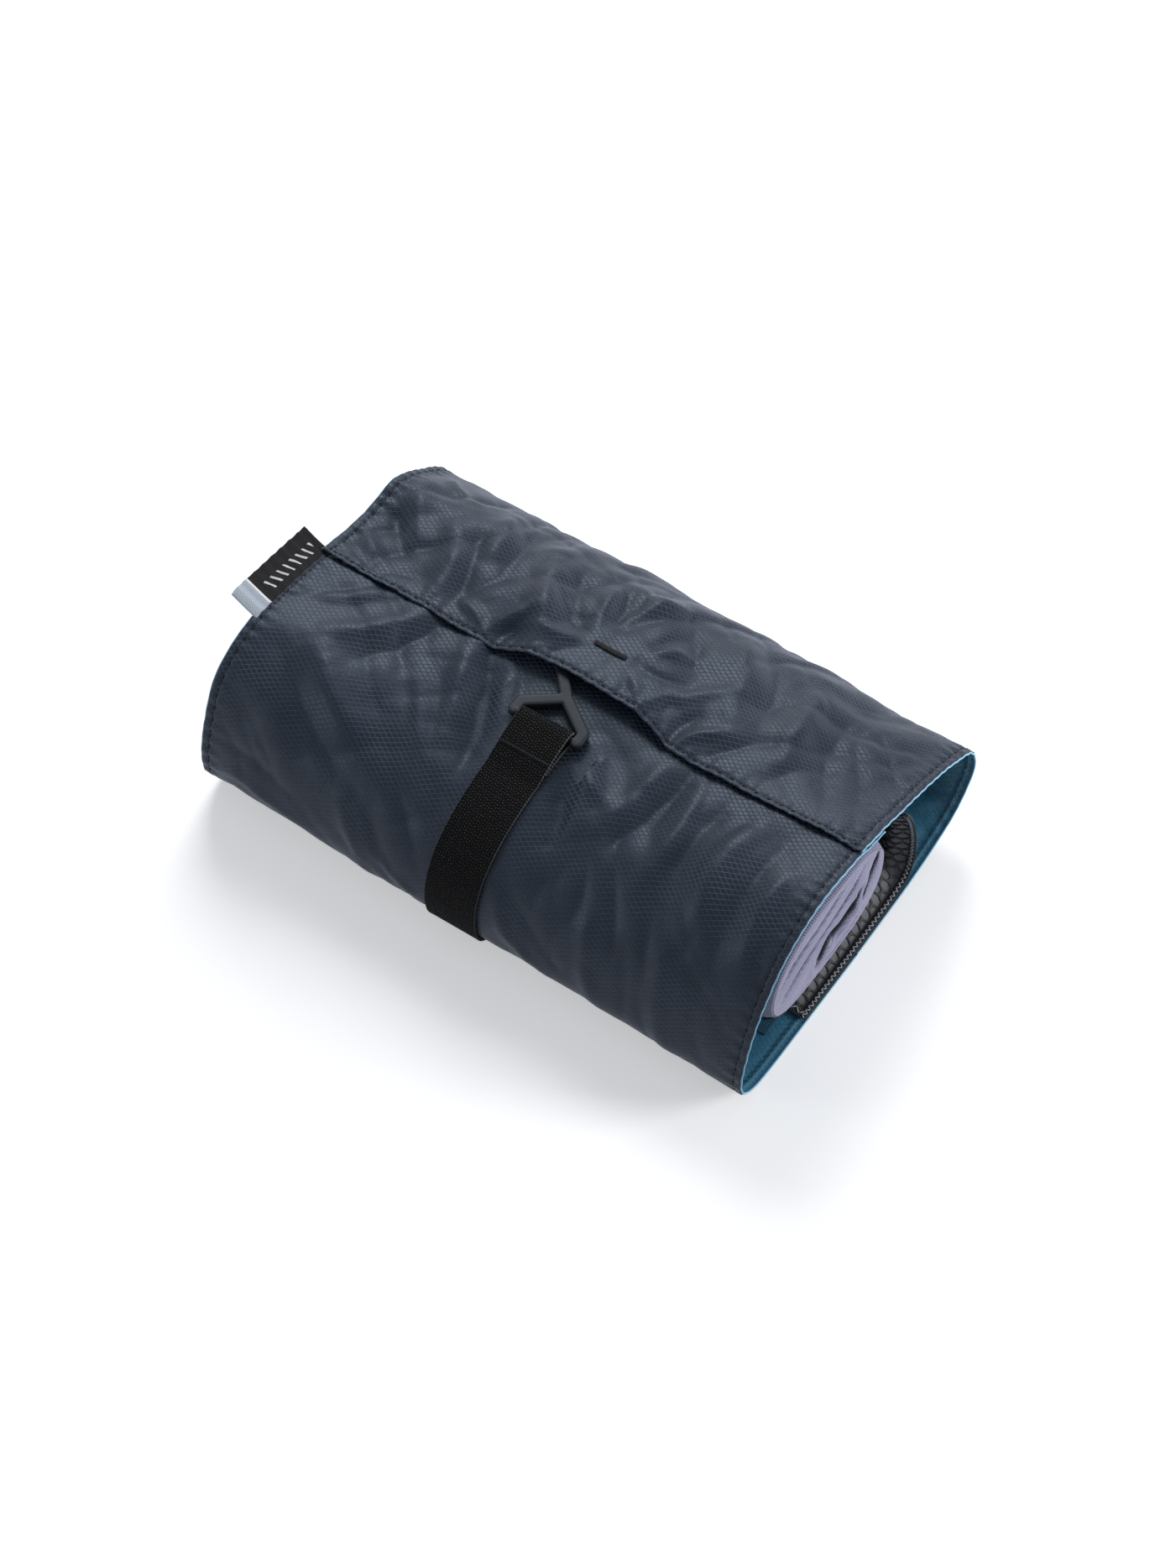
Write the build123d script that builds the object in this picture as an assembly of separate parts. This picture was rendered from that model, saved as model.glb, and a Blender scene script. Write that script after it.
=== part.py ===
"""A hanging toiletry bag, folded in three round its contents and closed by an elastic strap with a hook.

All sizes are in millimetres. X runs along the bag, from the label end to the far open end. Y runs across
it, from the fold that the strap goes round to the other fold. Z is up, and the bag lies on Z = 0.
"""
from build123d import *
import math
import os

os.makedirs("parts", exist_ok=True)

# The folded bag.
bag_length = 270.0
bag_width = 180.0
bag_height = 78.0  # top of the closed flap
fold_height = 28.0  # height of both folds
far_swell = 7.2  # how far the closed flap swells out past the far fold
corner_width = 35.0  # how far each lower corner reaches in from its fold
flap_edge_y = 0.0  # free edge of the flap
front_tuck = 10.0  # how far the front panel goes under the flap
flap_flat = 28.0  # level stretch of the flap behind its free edge
crown_radius = 150.0
crown_turn = 19.0  # degrees of crown before the shoulder starts

# Cloth.
shell_thickness = 1.0
lining_thickness = 0.6
layer_gap = 0.2
fold_gap = 0.4  # between the panels at a fold
loose_gap = 0.4  # between the contents and the cloth round them

# Elastic strap, its hook and the ribbon loop that the hook goes through.
strap_width = 25.0
strap_thickness = 1.4
strap_offset = -5.0  # the strap's middle, from the middle of the bag
strap_fold_gap = 2.0  # the strap's gap each side of the near fold
strap_end_in = 20.0  # how far the strap reaches in below the near fold to where it is sewn down
bar_radius = 1.6
bar_clearance = 0.3
bar_y = -19.4
strap_lap = 14.0  # the sewn-back end of the strap, from the bar
hook_thickness = 3.0
hook_band = 4.0  # width of the hook's legs and curl
hook_side_gap = 0.6  # between the strap's edge and each leg
apex_x = -0.5  # where the legs meet, from the middle of the bar
apex_y = 16.0
neck_x = -11.5  # where the stem runs into the curl
neck_y = 28.5
curl_x = -5.5
curl_y = 33.8
curl_radius = 8.0
curl_turn = 253.0  # degrees from the neck round to the tip
ribbon_width = 10.0
ribbon_thickness = 0.7
ribbon_clearance = 0.3
tack_y = 26.4
tack_length = 15.0
tack_width = 2.0
tack_rise = 0.5

# Woven label in the front panel's end seam.
label_length = 50.0
label_out = 10.0
label_setback = 4.0  # from the flap's edge to the label
label_leaf = 0.5

# Mesh pocket on the back panel's lining.
pocket_end_margin = 6.0
net_thickness = 0.6
net_foot_y = -33.0
net_middle_y = 22.0
net_middle_height = 16.0  # over the lining
net_far_in = 14.0  # from the far fold in to the net's far edge
net_far_height = 23.0  # over the lining
binding_width = 3.0
binding_thickness = 0.8

# Zip along the pocket's near edge.
zip_y = -44.0
tape_width = 9.6
tape_thickness = 0.5
coil_width = 2.0
coil_height = 0.9
coil_gap = 0.2
slider_length = 10.0
slider_width = 8.0
slider_wall = 1.0
slider_clearance = 0.3
bail_radius = 0.6
bail_clearance = 0.1
bail_rise = 1.6
bail_post = 1.0
pull_width = 4.0
pull_length = 20.0
pull_thickness = 1.2
pull_side_gap = 0.3
stop_length = 2.0
stop_height = 1.0
zip_travel_margin = 4.0

# Contents.
cloth_end_margin = 9.0
cloth_side_cut = 14.0  # the cloth's distance from each fold
zip_room_height = 28.0  # room over the zip for its pull to turn
zip_room_far = 4.0  # how far the room reaches past the net's foot

# Values that follow.
strap_stack = layer_gap + strap_thickness
wall = shell_thickness + layer_gap + lining_thickness
x_left = -(bag_length - label_out) / 2
x_right = x_left + bag_length
x_middle = (x_left + x_right) / 2
y_near = -(bag_width - strap_stack + far_swell) / 2  # so that the strap and the flap reach out equally
y_far = y_near + bag_width
lining_top = wall  # the back panel lies on Z = 0
strap_x = x_middle + strap_offset
front_edge_y = flap_edge_y + front_tuck
loop_radius = bar_radius + bar_clearance + strap_thickness
crown_drop = crown_radius - math.sqrt(crown_radius**2 - (flap_edge_y - bar_y) ** 2)
ribbon_top = hook_thickness / 2 + ribbon_clearance + ribbon_thickness
front_height = bag_height - wall - layer_gap - ribbon_top - layer_gap - loop_radius + crown_drop
bar_z = front_height - crown_drop + layer_gap + loop_radius


def polar(centre, radius, degrees):
    a = math.radians(degrees)
    return (centre[0] + radius * math.cos(a), centre[1] + radius * math.sin(a))


def angle_of(centre, point):
    return math.degrees(math.atan2(point[1] - centre[1], point[0] - centre[0]))


class Path:
    """A line of the cross-section, made of lines and arcs. Each arc's centre is on the bag's inner side."""

    def __init__(self):
        self.pieces = []

    def line(self, start, end, inward):
        self.pieces.append(("line", start, end, inward))
        return self

    def arc(self, centre, start, end):
        self.pieces.append(("arc", centre, start, end))
        return self

    def edges(self, inset):
        made = []
        for kind, a, b, c in self.pieces:
            if kind == "line":
                shift = (c[0] * inset, c[1] * inset)
                made.append(Line((a[0] + shift[0], a[1] + shift[1]), (b[0] + shift[0], b[1] + shift[1])))
            else:
                radius = math.dist(a, b) - inset
                first = angle_of(a, b)
                turn = (angle_of(a, c) - first + 180) % 360 - 180
                ends = [polar(a, radius, first + turn * share) for share in (0, 0.5, 1)]
                made.append(ThreePointArc(*ends))
        return made

    def band(self, outer, inner):
        """The face between this path moved inwards by outer and by inner."""
        far_side, near_side = self.edges(outer), self.edges(inner)
        caps = [Line(far_side[0] @ 0, near_side[0] @ 0), Line(far_side[-1] @ 1, near_side[-1] @ 1)]
        return make_face(far_side + near_side + caps)

    def under(self, inset, level):
        """The face between this path, moved inwards, and a level line."""
        edges = self.edges(inset)
        start, end = edges[0] @ 0, edges[-1] @ 1
        first, last = (start.X, level), (end.X, level)
        sides = [Line(start, first), Line(first, last), Line(last, end)]
        return make_face(edges + [side for side in sides if side.length > 1e-6])


def arc_centre(start, inward, end):
    """Centre of the arc that leaves start square to inward and passes through end."""
    dy, dz = end[0] - start[0], end[1] - start[1]
    radius = (dy * dy + dz * dz) / (2 * (inward[0] * dy + inward[1] * dz))
    return (start[0] + inward[0] * radius, start[1] + inward[1] * radius)


def bottom_path():
    near, far = (y_near, fold_height), (y_far, fold_height)
    first, last = (y_near + corner_width, 0.0), (y_far - corner_width, 0.0)
    path = Path()
    path.arc(arc_centre(first, (0, 1), near), near, first)
    path.line(first, last, (0, 1))
    return path.arc(arc_centre(last, (0, 1), far), last, far)


def top_path(edge_y, crown_y, height, fold_y):
    """From the free edge level to where the crown starts, then down over the shoulder to a fold."""
    side = 1 if fold_y > crown_y else -1
    crest = (crown_y, height)
    centre = (crown_y, height - crown_radius)
    shoulder = polar(centre, crown_radius, 90 - side * crown_turn)
    inward = ((centre[0] - shoulder[0]) / crown_radius, (centre[1] - shoulder[1]) / crown_radius)
    fold = (fold_y, fold_height)
    path = Path()
    if abs(edge_y - crown_y) > 1e-6:
        path.line((edge_y, height), crest, (0, -1))
    path.arc(centre, crest, shoulder)
    return path.arc(arc_centre(shoulder, inward, fold), shoulder, fold)


back_path = bottom_path()
front_path = top_path(front_edge_y, flap_edge_y, front_height, y_near)
flap_path = top_path(flap_edge_y, flap_edge_y + flap_flat, bag_height, y_far)


def block(low, high):
    """A solid box between two corners."""
    sizes = [high[i] - low[i] for i in range(3)]
    middle = [(high[i] + low[i]) / 2 for i in range(3)]
    return Pos(*middle) * Box(*sizes)


def window(y_low, y_high, z_low, z_high):
    """A rectangle of the cross-section."""
    return Pos((y_low + y_high) / 2, (z_low + z_high) / 2) * Rectangle(y_high - y_low, z_high - z_low)


def drawn_out(face, x_low, x_high):
    """A cross-section face drawn along X."""
    placed = [Plane.YZ.offset(x_low) * part for part in face.faces()]
    turned = [part if part.normal_at().X > 0 else -part for part in placed]
    return Part() + [extrude(part, amount=x_high - x_low) for part in turned]


def below(z):
    return window(-bag_width, bag_width, -bag_height, z)


def above(z):
    return window(-bag_width, bag_width, z, 2 * bag_height)


def save(name, *shapes):
    solids = [solid for shape in shapes for solid in shape.solids()]
    shape = solids[0] if len(solids) == 1 else Compound(children=solids)
    export_step(shape, f"parts/{name}.step")


# Panels and their linings.
def panel(path, side, outer, inner):
    return drawn_out(path.band(outer, inner) & side, x_left, x_right)


back_side = below(fold_height - fold_gap / 2)
top_side = above(fold_height + fold_gap / 2)
lining_from = shell_thickness + layer_gap
for name, path, side in (
    ("back", back_path, back_side),
    ("front", front_path, top_side),
    ("flap", flap_path, top_side),
):
    save(f"{name}_panel", panel(path, side, 0, shell_thickness))
    save(f"{name}_lining", panel(path, side, lining_from, wall))


# Elastic strap.
def strap():
    low, high = strap_x - strap_width / 2, strap_x + strap_width / 2
    lap_y = bar_y - strap_lap
    along_front = front_path.band(-strap_stack, -layer_gap)
    along_front &= window(-bag_width, lap_y, fold_height + strap_fold_gap, 2 * bag_height)
    tail_top = strap_surface_z(lap_y, strap_stack)
    tail_bottom = strap_surface_z(lap_y, layer_gap)
    tail = make_face(
        Polyline(
            (bar_y, bar_z + loop_radius),
            (lap_y, tail_top),
            (lap_y, tail_bottom),
            (bar_y, bar_z - loop_radius),
            close=True,
        )
    )
    end = tail + Pos(bar_y, bar_z) * Circle(loop_radius)
    end -= Pos(bar_y, bar_z) * Circle(bar_radius + bar_clearance)
    upper = drawn_out(along_front, low, high) + drawn_out(end, low, high)
    end_y = y_near + strap_end_in
    under = back_path.band(-strap_stack, -layer_gap)
    under &= window(-bag_width, end_y, 0, fold_height - strap_fold_gap)
    top_tack = front_path.band(-strap_stack - tack_rise, -strap_stack)
    top_tack &= window(lap_y - 2 * tack_width, lap_y - tack_width, 0, 2 * bag_height)
    low_tack = back_path.band(-strap_stack - tack_rise, -strap_stack)
    low_tack &= window(end_y - 2 * tack_width, end_y - tack_width, 0, fold_height)
    shapes = [upper, drawn_out(under, low, high)]
    return shapes + [drawn_out(tack, low + tack_width, high - tack_width) for tack in (top_tack, low_tack)]


def strap_surface_z(y, out):
    """Height of the front panel's crown at y, moved outwards."""
    centre_z = front_height - crown_radius
    return centre_z + math.sqrt((crown_radius + out) ** 2 - (y - flap_edge_y) ** 2)


strap_names = ("elastic_strap_upper", "elastic_strap_lower", "strap_end_tack", "strap_anchor_tack")
for name, shape in zip(strap_names, strap()):
    save(name, shape)


# Hook.
def bar_between(start, end, width):
    run = math.dist(start, end)
    middle = ((start[0] + end[0]) / 2, (start[1] + end[1]) / 2)
    return Pos(*middle) * Rot(0, 0, angle_of(start, end)) * SlotCenterToCenter(run, width)


def hook():
    corner_x = strap_width / 2 + hook_side_gap + hook_band / 2
    left, right, apex = (-corner_x, 0), (corner_x, 0), (apex_x, apex_y)
    shoulder = loop_radius + hook_side_gap + hook_band / 4
    outline = bar_between(left, (-corner_x, shoulder), hook_band)
    outline += bar_between((-corner_x, shoulder), apex, hook_band)
    outline += bar_between(right, (corner_x, shoulder), hook_band)
    outline += bar_between((corner_x, shoulder), apex, hook_band)
    curl = (curl_x, curl_y)
    start = angle_of(curl, (neck_x, neck_y))
    ends = [polar(curl, curl_radius, start - curl_turn * share) for share in (0, 0.5, 1)]
    outline += bar_between(apex, ends[0], hook_band)
    outline += SlotArc(ThreePointArc(*ends), hook_band)
    plate = extrude(Plane.XY.offset(-hook_thickness / 2) * outline, amount=hook_thickness)
    bar = Rot(0, 90, 0) * Cylinder(bar_radius, 2 * corner_x)
    return Pos(strap_x, bar_y, bar_z) * (plate + bar)


save("hook", hook())


# Ribbon loop under the flap, and the tack that holds it.
def ribbon():
    wire_far = bar_y + curl_y + curl_radius + hook_band / 2
    half = ribbon_width / 2
    inner = curl_radius - hook_band / 2
    wire_near = bar_y + curl_y + math.sqrt(inner**2 - half**2)
    hole_low, hole_high = wire_near - ribbon_clearance, wire_far + ribbon_clearance
    rise = hook_thickness / 2 + ribbon_clearance
    hole = window(hole_low, hole_high, bar_z - rise, bar_z + rise)
    skin = ribbon_thickness
    loop = window(hole_low - skin, hole_high + skin, bar_z - rise - skin, bar_z + rise + skin) - hole
    tail_far = tack_y + tack_width / 2
    loop += window(hole_high, tail_far, bar_z + rise, bar_z + rise + skin)
    middle = strap_x + curl_x
    return drawn_out(loop, middle - half, middle + half)


save("hook_ribbon_loop", ribbon())
tack_half = (tack_length / 2, tack_width / 2)
tack_low = (strap_x - tack_half[0], tack_y - tack_half[1], bag_height)
tack_high = (strap_x + tack_half[0], tack_y + tack_half[1], bag_height + tack_rise)
save("flap_tack", block(tack_low, tack_high))


# Label, folded along its outer edge.
def label():
    y_high = flap_edge_y - label_setback
    strip = window(y_high - label_length, y_high, 0, 2 * bag_height)
    slit = layer_gap / 2
    outer = drawn_out(front_path.band(0, 2 * label_leaf + slit) & strip, x_left - label_out, x_left)
    inner_band = front_path.band(label_leaf, label_leaf + slit)
    inner = drawn_out(inner_band & strip, x_left - label_out + label_leaf, x_left)
    return outer - inner


save("label", label())

# Mesh pocket.
pocket_low = x_left + pocket_end_margin
pocket_high = x_right - pocket_end_margin
net_far = (y_far - net_far_in, lining_top + net_far_height)


def under_net(drop, shrink=0.0):
    """The cross-section below the net, down to the lining."""
    start = (net_foot_y + shrink, lining_top - drop)
    middle = (net_middle_y, lining_top + net_middle_height - drop)
    end = (net_far[0], net_far[1] - drop)
    deep = -bag_height
    corner = (y_far, net_far[1] - drop)
    sides = [
        ThreePointArc(start, middle, end),
        Line(end, corner),
        Line(corner, (y_far, deep)),
        Line((y_far, deep), (start[0], deep)),
        Line((start[0], deep), start),
    ]
    room = back_path.under(wall + layer_gap, net_far[1] + bag_height)
    return make_face(sides) & room


def net():
    whole = drawn_out(under_net(0), pocket_low, pocket_high)
    room = drawn_out(
        under_net(net_thickness, net_thickness), pocket_low + net_thickness, pocket_high - net_thickness
    )
    return whole - room


def pocket_filling():
    face = under_net(net_thickness + loose_gap, net_thickness + 6)
    margin = net_thickness + loose_gap
    return drawn_out(face, pocket_low + margin, pocket_high - margin)


def binding(x_low):
    strip = window(net_foot_y, net_far[0], 0, net_far[1])
    face = back_path.band(wall + layer_gap, wall + layer_gap + binding_thickness) & strip
    return drawn_out(face, x_low, x_low + binding_width)


save("pocket_net", net())
save("pocket_padding", pocket_filling())
save("pocket_binding", binding(pocket_low - binding_width), binding(pocket_high))

# Zip.
tape_z = lining_top + layer_gap
coil_z = tape_z + tape_thickness
coil_top = coil_z + coil_height
zip_low, zip_high = pocket_low, pocket_high
for name, side in (("near", -1), ("far", 1)):
    edges = sorted((zip_y + side * coil_gap / 2, zip_y + side * (tape_width + coil_gap / 2)))
    save(
        f"zip_tape_{name}",
        block((zip_low, edges[0], tape_z), (zip_high, edges[1], coil_z)),
    )
    middle = zip_y + side * (coil_gap + coil_width) / 2
    rod = Rot(0, 90, 0) * Cylinder(coil_width / 2, zip_high - zip_low)
    coil = Pos((zip_low + zip_high) / 2, middle, coil_z) * rod
    coil &= block((zip_low, middle - coil_width, coil_z), (zip_high, middle + coil_width, coil_top))
    save(f"zip_coil_{name}", coil)

slider_x = pocket_low + stop_length + zip_travel_margin + slider_length / 2


def slider():
    channel = coil_width + coil_gap / 2 + slider_clearance
    roof = coil_top + slider_clearance
    low = coil_z + slider_clearance / 2
    half = slider_length / 2
    body = block(
        (slider_x - half, zip_y - slider_width / 2, low),
        (slider_x + half, zip_y + slider_width / 2, roof + slider_wall),
    )
    body = fillet(body.edges().filter_by(Axis.Z), slider_wall)
    over = half + slider_wall
    body -= block((slider_x - over, zip_y - channel, low - 1), (slider_x + over, zip_y + channel, roof))
    bail_z = roof + slider_wall + bail_rise
    inner = pull_width / 2 + pull_side_gap
    for side in (-1, 1):
        y_edges = sorted((zip_y + side * inner, zip_y + side * (inner + bail_post)))
        body += block(
            (slider_x - bail_post, y_edges[0], roof),
            (slider_x + bail_post, y_edges[1], bail_z + bail_radius),
        )
    rod = Pos(slider_x, zip_y, bail_z) * Rot(90, 0, 0) * Cylinder(bail_radius, 2 * inner + bail_post)
    return body + rod, bail_z


def pull(bail_z):
    ring = pull_width / 2
    plate = Pos(pull_length / 2, 0) * SlotCenterToCenter(pull_length - pull_width, pull_width)
    hub = Rot(90, 0, 0) * Cylinder(pull_thickness, pull_width)
    flat = extrude(Plane.XY.offset(-pull_thickness) * plate, amount=pull_thickness)
    flat &= block((0, -ring, -ring), (2 * pull_length, ring, ring))
    hole = Rot(90, 0, 0) * Cylinder(bail_radius + bail_clearance, 2 * pull_width)
    eye = Pos(pull_length - pull_width, 0) * SlotCenterToCenter(pull_width, pull_width / 3)
    slot = extrude(Plane.XY.offset(-2 * pull_thickness) * eye, amount=3 * pull_thickness)
    return Pos(slider_x, zip_y, bail_z) * (hub + flat - hole - slot)


slider_body, bail_z = slider()
save("zip_slider", slider_body)
save("zip_pull", pull(bail_z))
stop_half = coil_width + coil_gap
stops = []
for x in (zip_low, zip_high - stop_length):
    low = (x, zip_y - stop_half, coil_top)
    high = (x + stop_length, zip_y + stop_half, coil_top + stop_height)
    stops.append(block(low, high))
save("zip_end_stops", *stops)


# The folded cloth that fills the bag.
def filling():
    low, high = x_left + cloth_end_margin, x_right - cloth_end_margin
    cloth = drawn_out(back_path.under(wall + layer_gap + loose_gap, fold_height + wall), low, high)
    for fold_y in (y_near, y_far):
        over = top_path(flap_edge_y, flap_edge_y, front_height, fold_y)
        cloth += drawn_out(over.under(wall + loose_gap, fold_height - wall), low, high)
    cloth -= drawn_out(under_net(-loose_gap, -loose_gap), low, high)
    cloth &= block((low, y_near + cloth_side_cut, 0), (high, y_far - cloth_side_cut, 2 * bag_height))
    room_top = lining_top + zip_room_height
    return cloth - block((low, -bag_width, 0), (high, net_foot_y + zip_room_far, room_top))


save("folded_cloth", filling())
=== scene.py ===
"""A hanging toiletry bag, folded in three round a folded cloth and held shut by an elastic strap.

Lengths in this file are in millimetres and become metres when a mesh is made. X runs along the bag from the
label end to the open mouth, Y across it from the near fold to the far fold, and Z is up.
"""
import math
import random

import bmesh
import bpy
import numpy as np
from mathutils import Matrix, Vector, noise


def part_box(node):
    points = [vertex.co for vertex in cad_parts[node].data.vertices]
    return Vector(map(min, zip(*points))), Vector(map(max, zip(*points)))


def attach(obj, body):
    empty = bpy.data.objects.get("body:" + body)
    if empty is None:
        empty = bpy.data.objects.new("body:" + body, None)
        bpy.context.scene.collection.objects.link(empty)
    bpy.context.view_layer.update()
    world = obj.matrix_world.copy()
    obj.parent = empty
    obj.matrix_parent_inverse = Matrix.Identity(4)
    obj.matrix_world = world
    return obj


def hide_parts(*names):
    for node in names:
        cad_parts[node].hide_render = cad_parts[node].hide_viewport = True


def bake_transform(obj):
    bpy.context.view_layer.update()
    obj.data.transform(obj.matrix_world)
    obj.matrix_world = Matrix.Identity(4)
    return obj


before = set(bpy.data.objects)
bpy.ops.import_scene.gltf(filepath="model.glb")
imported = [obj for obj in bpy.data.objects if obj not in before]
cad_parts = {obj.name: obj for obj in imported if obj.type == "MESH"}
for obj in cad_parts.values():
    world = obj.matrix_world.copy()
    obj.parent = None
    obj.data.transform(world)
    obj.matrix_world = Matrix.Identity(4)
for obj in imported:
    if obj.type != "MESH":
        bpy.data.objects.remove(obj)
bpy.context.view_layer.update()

random.seed(7)
MM = 0.001

# ---------------------------------------------------------------- camera, light and floor
scene = bpy.context.scene
camera_aim = Vector((14.85, -10.55, 35.0)) * MM
camera_turn = math.radians(34.24)
camera_rise = math.radians(54.5)
camera_distance = 1.6
camera_lens = 119.1

sight = Vector((
    math.sin(camera_turn) * math.cos(camera_rise),
    -math.cos(camera_turn) * math.cos(camera_rise),
    math.sin(camera_rise),
))
camera = bpy.data.objects.new("camera", bpy.data.cameras.new("camera"))
scene.collection.objects.link(camera)
camera.location = camera_aim + sight * camera_distance
camera.rotation_euler = sight.to_track_quat("Z", "Y").to_euler()
camera.data.sensor_fit = "HORIZONTAL"
camera.data.sensor_width = 36.0
camera.data.lens = camera_lens
camera.data.clip_start = 0.05
scene.camera = camera
scene.view_settings.view_transform = "Standard"


def softbox(name, place, aim, width, power):
    """A square soft lamp. Places and width are in metres."""
    light = bpy.data.lights.new(name, "AREA")
    light.size = width
    light.energy = power
    lamp = bpy.data.objects.new(name, light)
    scene.collection.objects.link(lamp)
    lamp.location = place
    lamp.rotation_euler = (Vector(place) - Vector(aim)).to_track_quat("Z", "Y").to_euler()


softbox("window_light", (-0.75, 1.10, 1.25), (0.0, 0.0, 0.04), 0.80, 24.5)
softbox("fold_light", (-0.95, -0.85, 0.32), (-0.08, -0.08, 0.02), 0.5, 3.2)
softbox("mouth_light", (1.20, 0.70, 0.42), (0.13, -0.05, 0.02), 0.5, 17.0)

world = bpy.data.worlds.new("studio")
scene.world = world


# ---------------------------------------------------------------- finishes
class Signal:
    """A value, colour or vector on its way between the nodes of one finish."""

    def __init__(self, finish, socket):
        self.finish = finish
        self.socket = socket

    def maths(self, operation, *values):
        return self.finish.node("ShaderNodeMath", {"operation": operation}, dict(enumerate(values)))

    def __add__(self, other): return self.maths("ADD", self, other)
    def __radd__(self, other): return self.maths("ADD", other, self)
    def __sub__(self, other): return self.maths("SUBTRACT", self, other)
    def __rsub__(self, other): return self.maths("SUBTRACT", other, self)
    def __mul__(self, other): return self.maths("MULTIPLY", self, other)
    def __rmul__(self, other): return self.maths("MULTIPLY", other, self)
    def __abs__(self): return self.maths("ABSOLUTE", self)
    def __gt__(self, other): return self.maths("GREATER_THAN", self, other)
    def __lt__(self, other): return self.maths("LESS_THAN", self, other)

    def sine(self): return self.maths("SINE", self)
    def fraction(self): return self.maths("FRACT", self)
    def larger(self, other): return self.maths("MAXIMUM", self, other)

    def ramp(self, low, high):
        """0 below low, 1 above high and smooth between."""
        settings = {"interpolation_type": "SMOOTHSTEP", "clamp": True}
        inputs = {"Value": self, "From Min": low, "From Max": high}
        return self.finish.node("ShaderNodeMapRange", settings, inputs)


class Finish:
    """A node material, with the maker's words for its parts."""

    def __init__(self, name, tree=None):
        self.material = None
        if tree is None:
            self.material = bpy.data.materials.new(name)
            self.material.use_nodes = True
            tree = self.material.node_tree
        self.tree = tree
        self.tree.nodes.clear()

    def node(self, kind, settings=None, inputs=None, output=0):
        made = self.tree.nodes.new(kind)
        for name, value in (settings or {}).items():
            setattr(made, name, value)
        for key, value in (inputs or {}).items():
            if isinstance(value, Signal):
                self.tree.links.new(value.socket, made.inputs[key])
            else:
                made.inputs[key].default_value = value
        return Signal(self, made.outputs[output])

    def across(self):
        """The cloth's own coordinates in millimetres: along the piece, across it, and both together."""
        settings = {"attribute_type": "GEOMETRY", "attribute_name": "cloth"}
        both = self.node("ShaderNodeAttribute", settings, output="Vector")
        along = self.node("ShaderNodeSeparateXYZ", None, {0: both}, "X")
        side = self.node("ShaderNodeSeparateXYZ", None, {0: both}, "Y")
        return along, side, both

    def place(self):
        return self.node("ShaderNodeTexCoord", output="Object")

    def clouds(self, vector, scale, detail=3.0, roughness=0.55, distortion=0.0):
        inputs = {"Vector": vector, "Scale": scale, "Detail": detail, "Roughness": roughness,
                  "Distortion": distortion}
        return self.node("ShaderNodeTexNoise", None, inputs)

    def tint(self, factor, first, second):
        """From the first colour to the second as factor goes from 0 to 1."""
        def full(colour):
            return colour if isinstance(colour, Signal) else (*colour, 1.0)
        inputs = {"Factor": factor, 6: full(first), 7: full(second)}
        return self.node("ShaderNodeMix", {"data_type": "RGBA"}, inputs, 2)

    def backdrop(self):
        """1 where the camera or a reflection looks at it, 0 for the light that it gives the object."""
        seen = self.node("ShaderNodeLightPath", output="Is Camera Ray")
        return seen.larger(self.node("ShaderNodeLightPath", output="Is Glossy Ray"))

    def surface(self, colour, roughness, height=None, relief=0.2, **fixed):
        """Ends the finish. Relief is the height's size in millimetres. Fixed are the shader's own values."""
        colour = colour if isinstance(colour, Signal) else (*colour, 1.0)
        inputs = {"Base Color": colour, "Roughness": roughness}
        if height is not None:
            inputs["Normal"] = self.node("ShaderNodeBump", None, {"Distance": relief * MM, "Height": height})
        for name, value in fixed.items():
            inputs[name.replace("_", " ")] = value
        shader = self.node("ShaderNodeBsdfPrincipled", None, inputs)
        self.close(shader)
        return self.material

    def close(self, shader):
        end = self.tree.nodes.new("ShaderNodeOutputMaterial" if self.material else "ShaderNodeOutputWorld")
        self.tree.links.new(shader.socket, end.inputs["Surface"])


thread_cell = (3.8, 2.4)          # spacing of the reinforcing threads along and across the cloth
thread_share = 0.05               # how much of that spacing is thread


def lattice(along, side):
    """The crossed reinforcing threads of ripstop: 1 on a thread, 0 between threads."""
    lines = []
    for way in (1.0, -1.0):
        phase = (along * (1.0 / thread_cell[0]) + side * (way / thread_cell[1])).fraction()
        lines.append(abs(phase - 0.5).ramp(0.5 - 2.2 * thread_share, 0.5 - thread_share))
    return lines[0].larger(lines[1])


def woven(along, side, rate):
    """A plain weave, from 0 to 1."""
    return (along * rate).sine() * (side * rate).sine() * 0.5 + 0.5


def ripstop(name, dark, light, thread, gloss, line_strength, **fixed):
    finish = Finish(name)
    along, side, both = finish.across()
    broad = finish.clouds(both, 0.022, 3.0, 0.6, 0.4)
    small = finish.clouds(both, 0.35, 4.0, 0.6)
    crossed = lattice(along, side)
    worn = broad.ramp(0.35, 0.62)
    weave = (along * 9.0).sine() * (side * 9.0).sine()
    cloth = finish.tint(small * 0.5 + broad * 0.5, dark, light)
    colour = finish.tint(crossed * (worn * 0.6 + 0.4) * line_strength, cloth, thread)
    roughness = gloss + broad * 0.12 + crossed * 0.26
    height = crossed * 0.9 + weave * 0.10 + small
    return finish.surface(colour, roughness, height, 0.16, **fixed)


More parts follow.
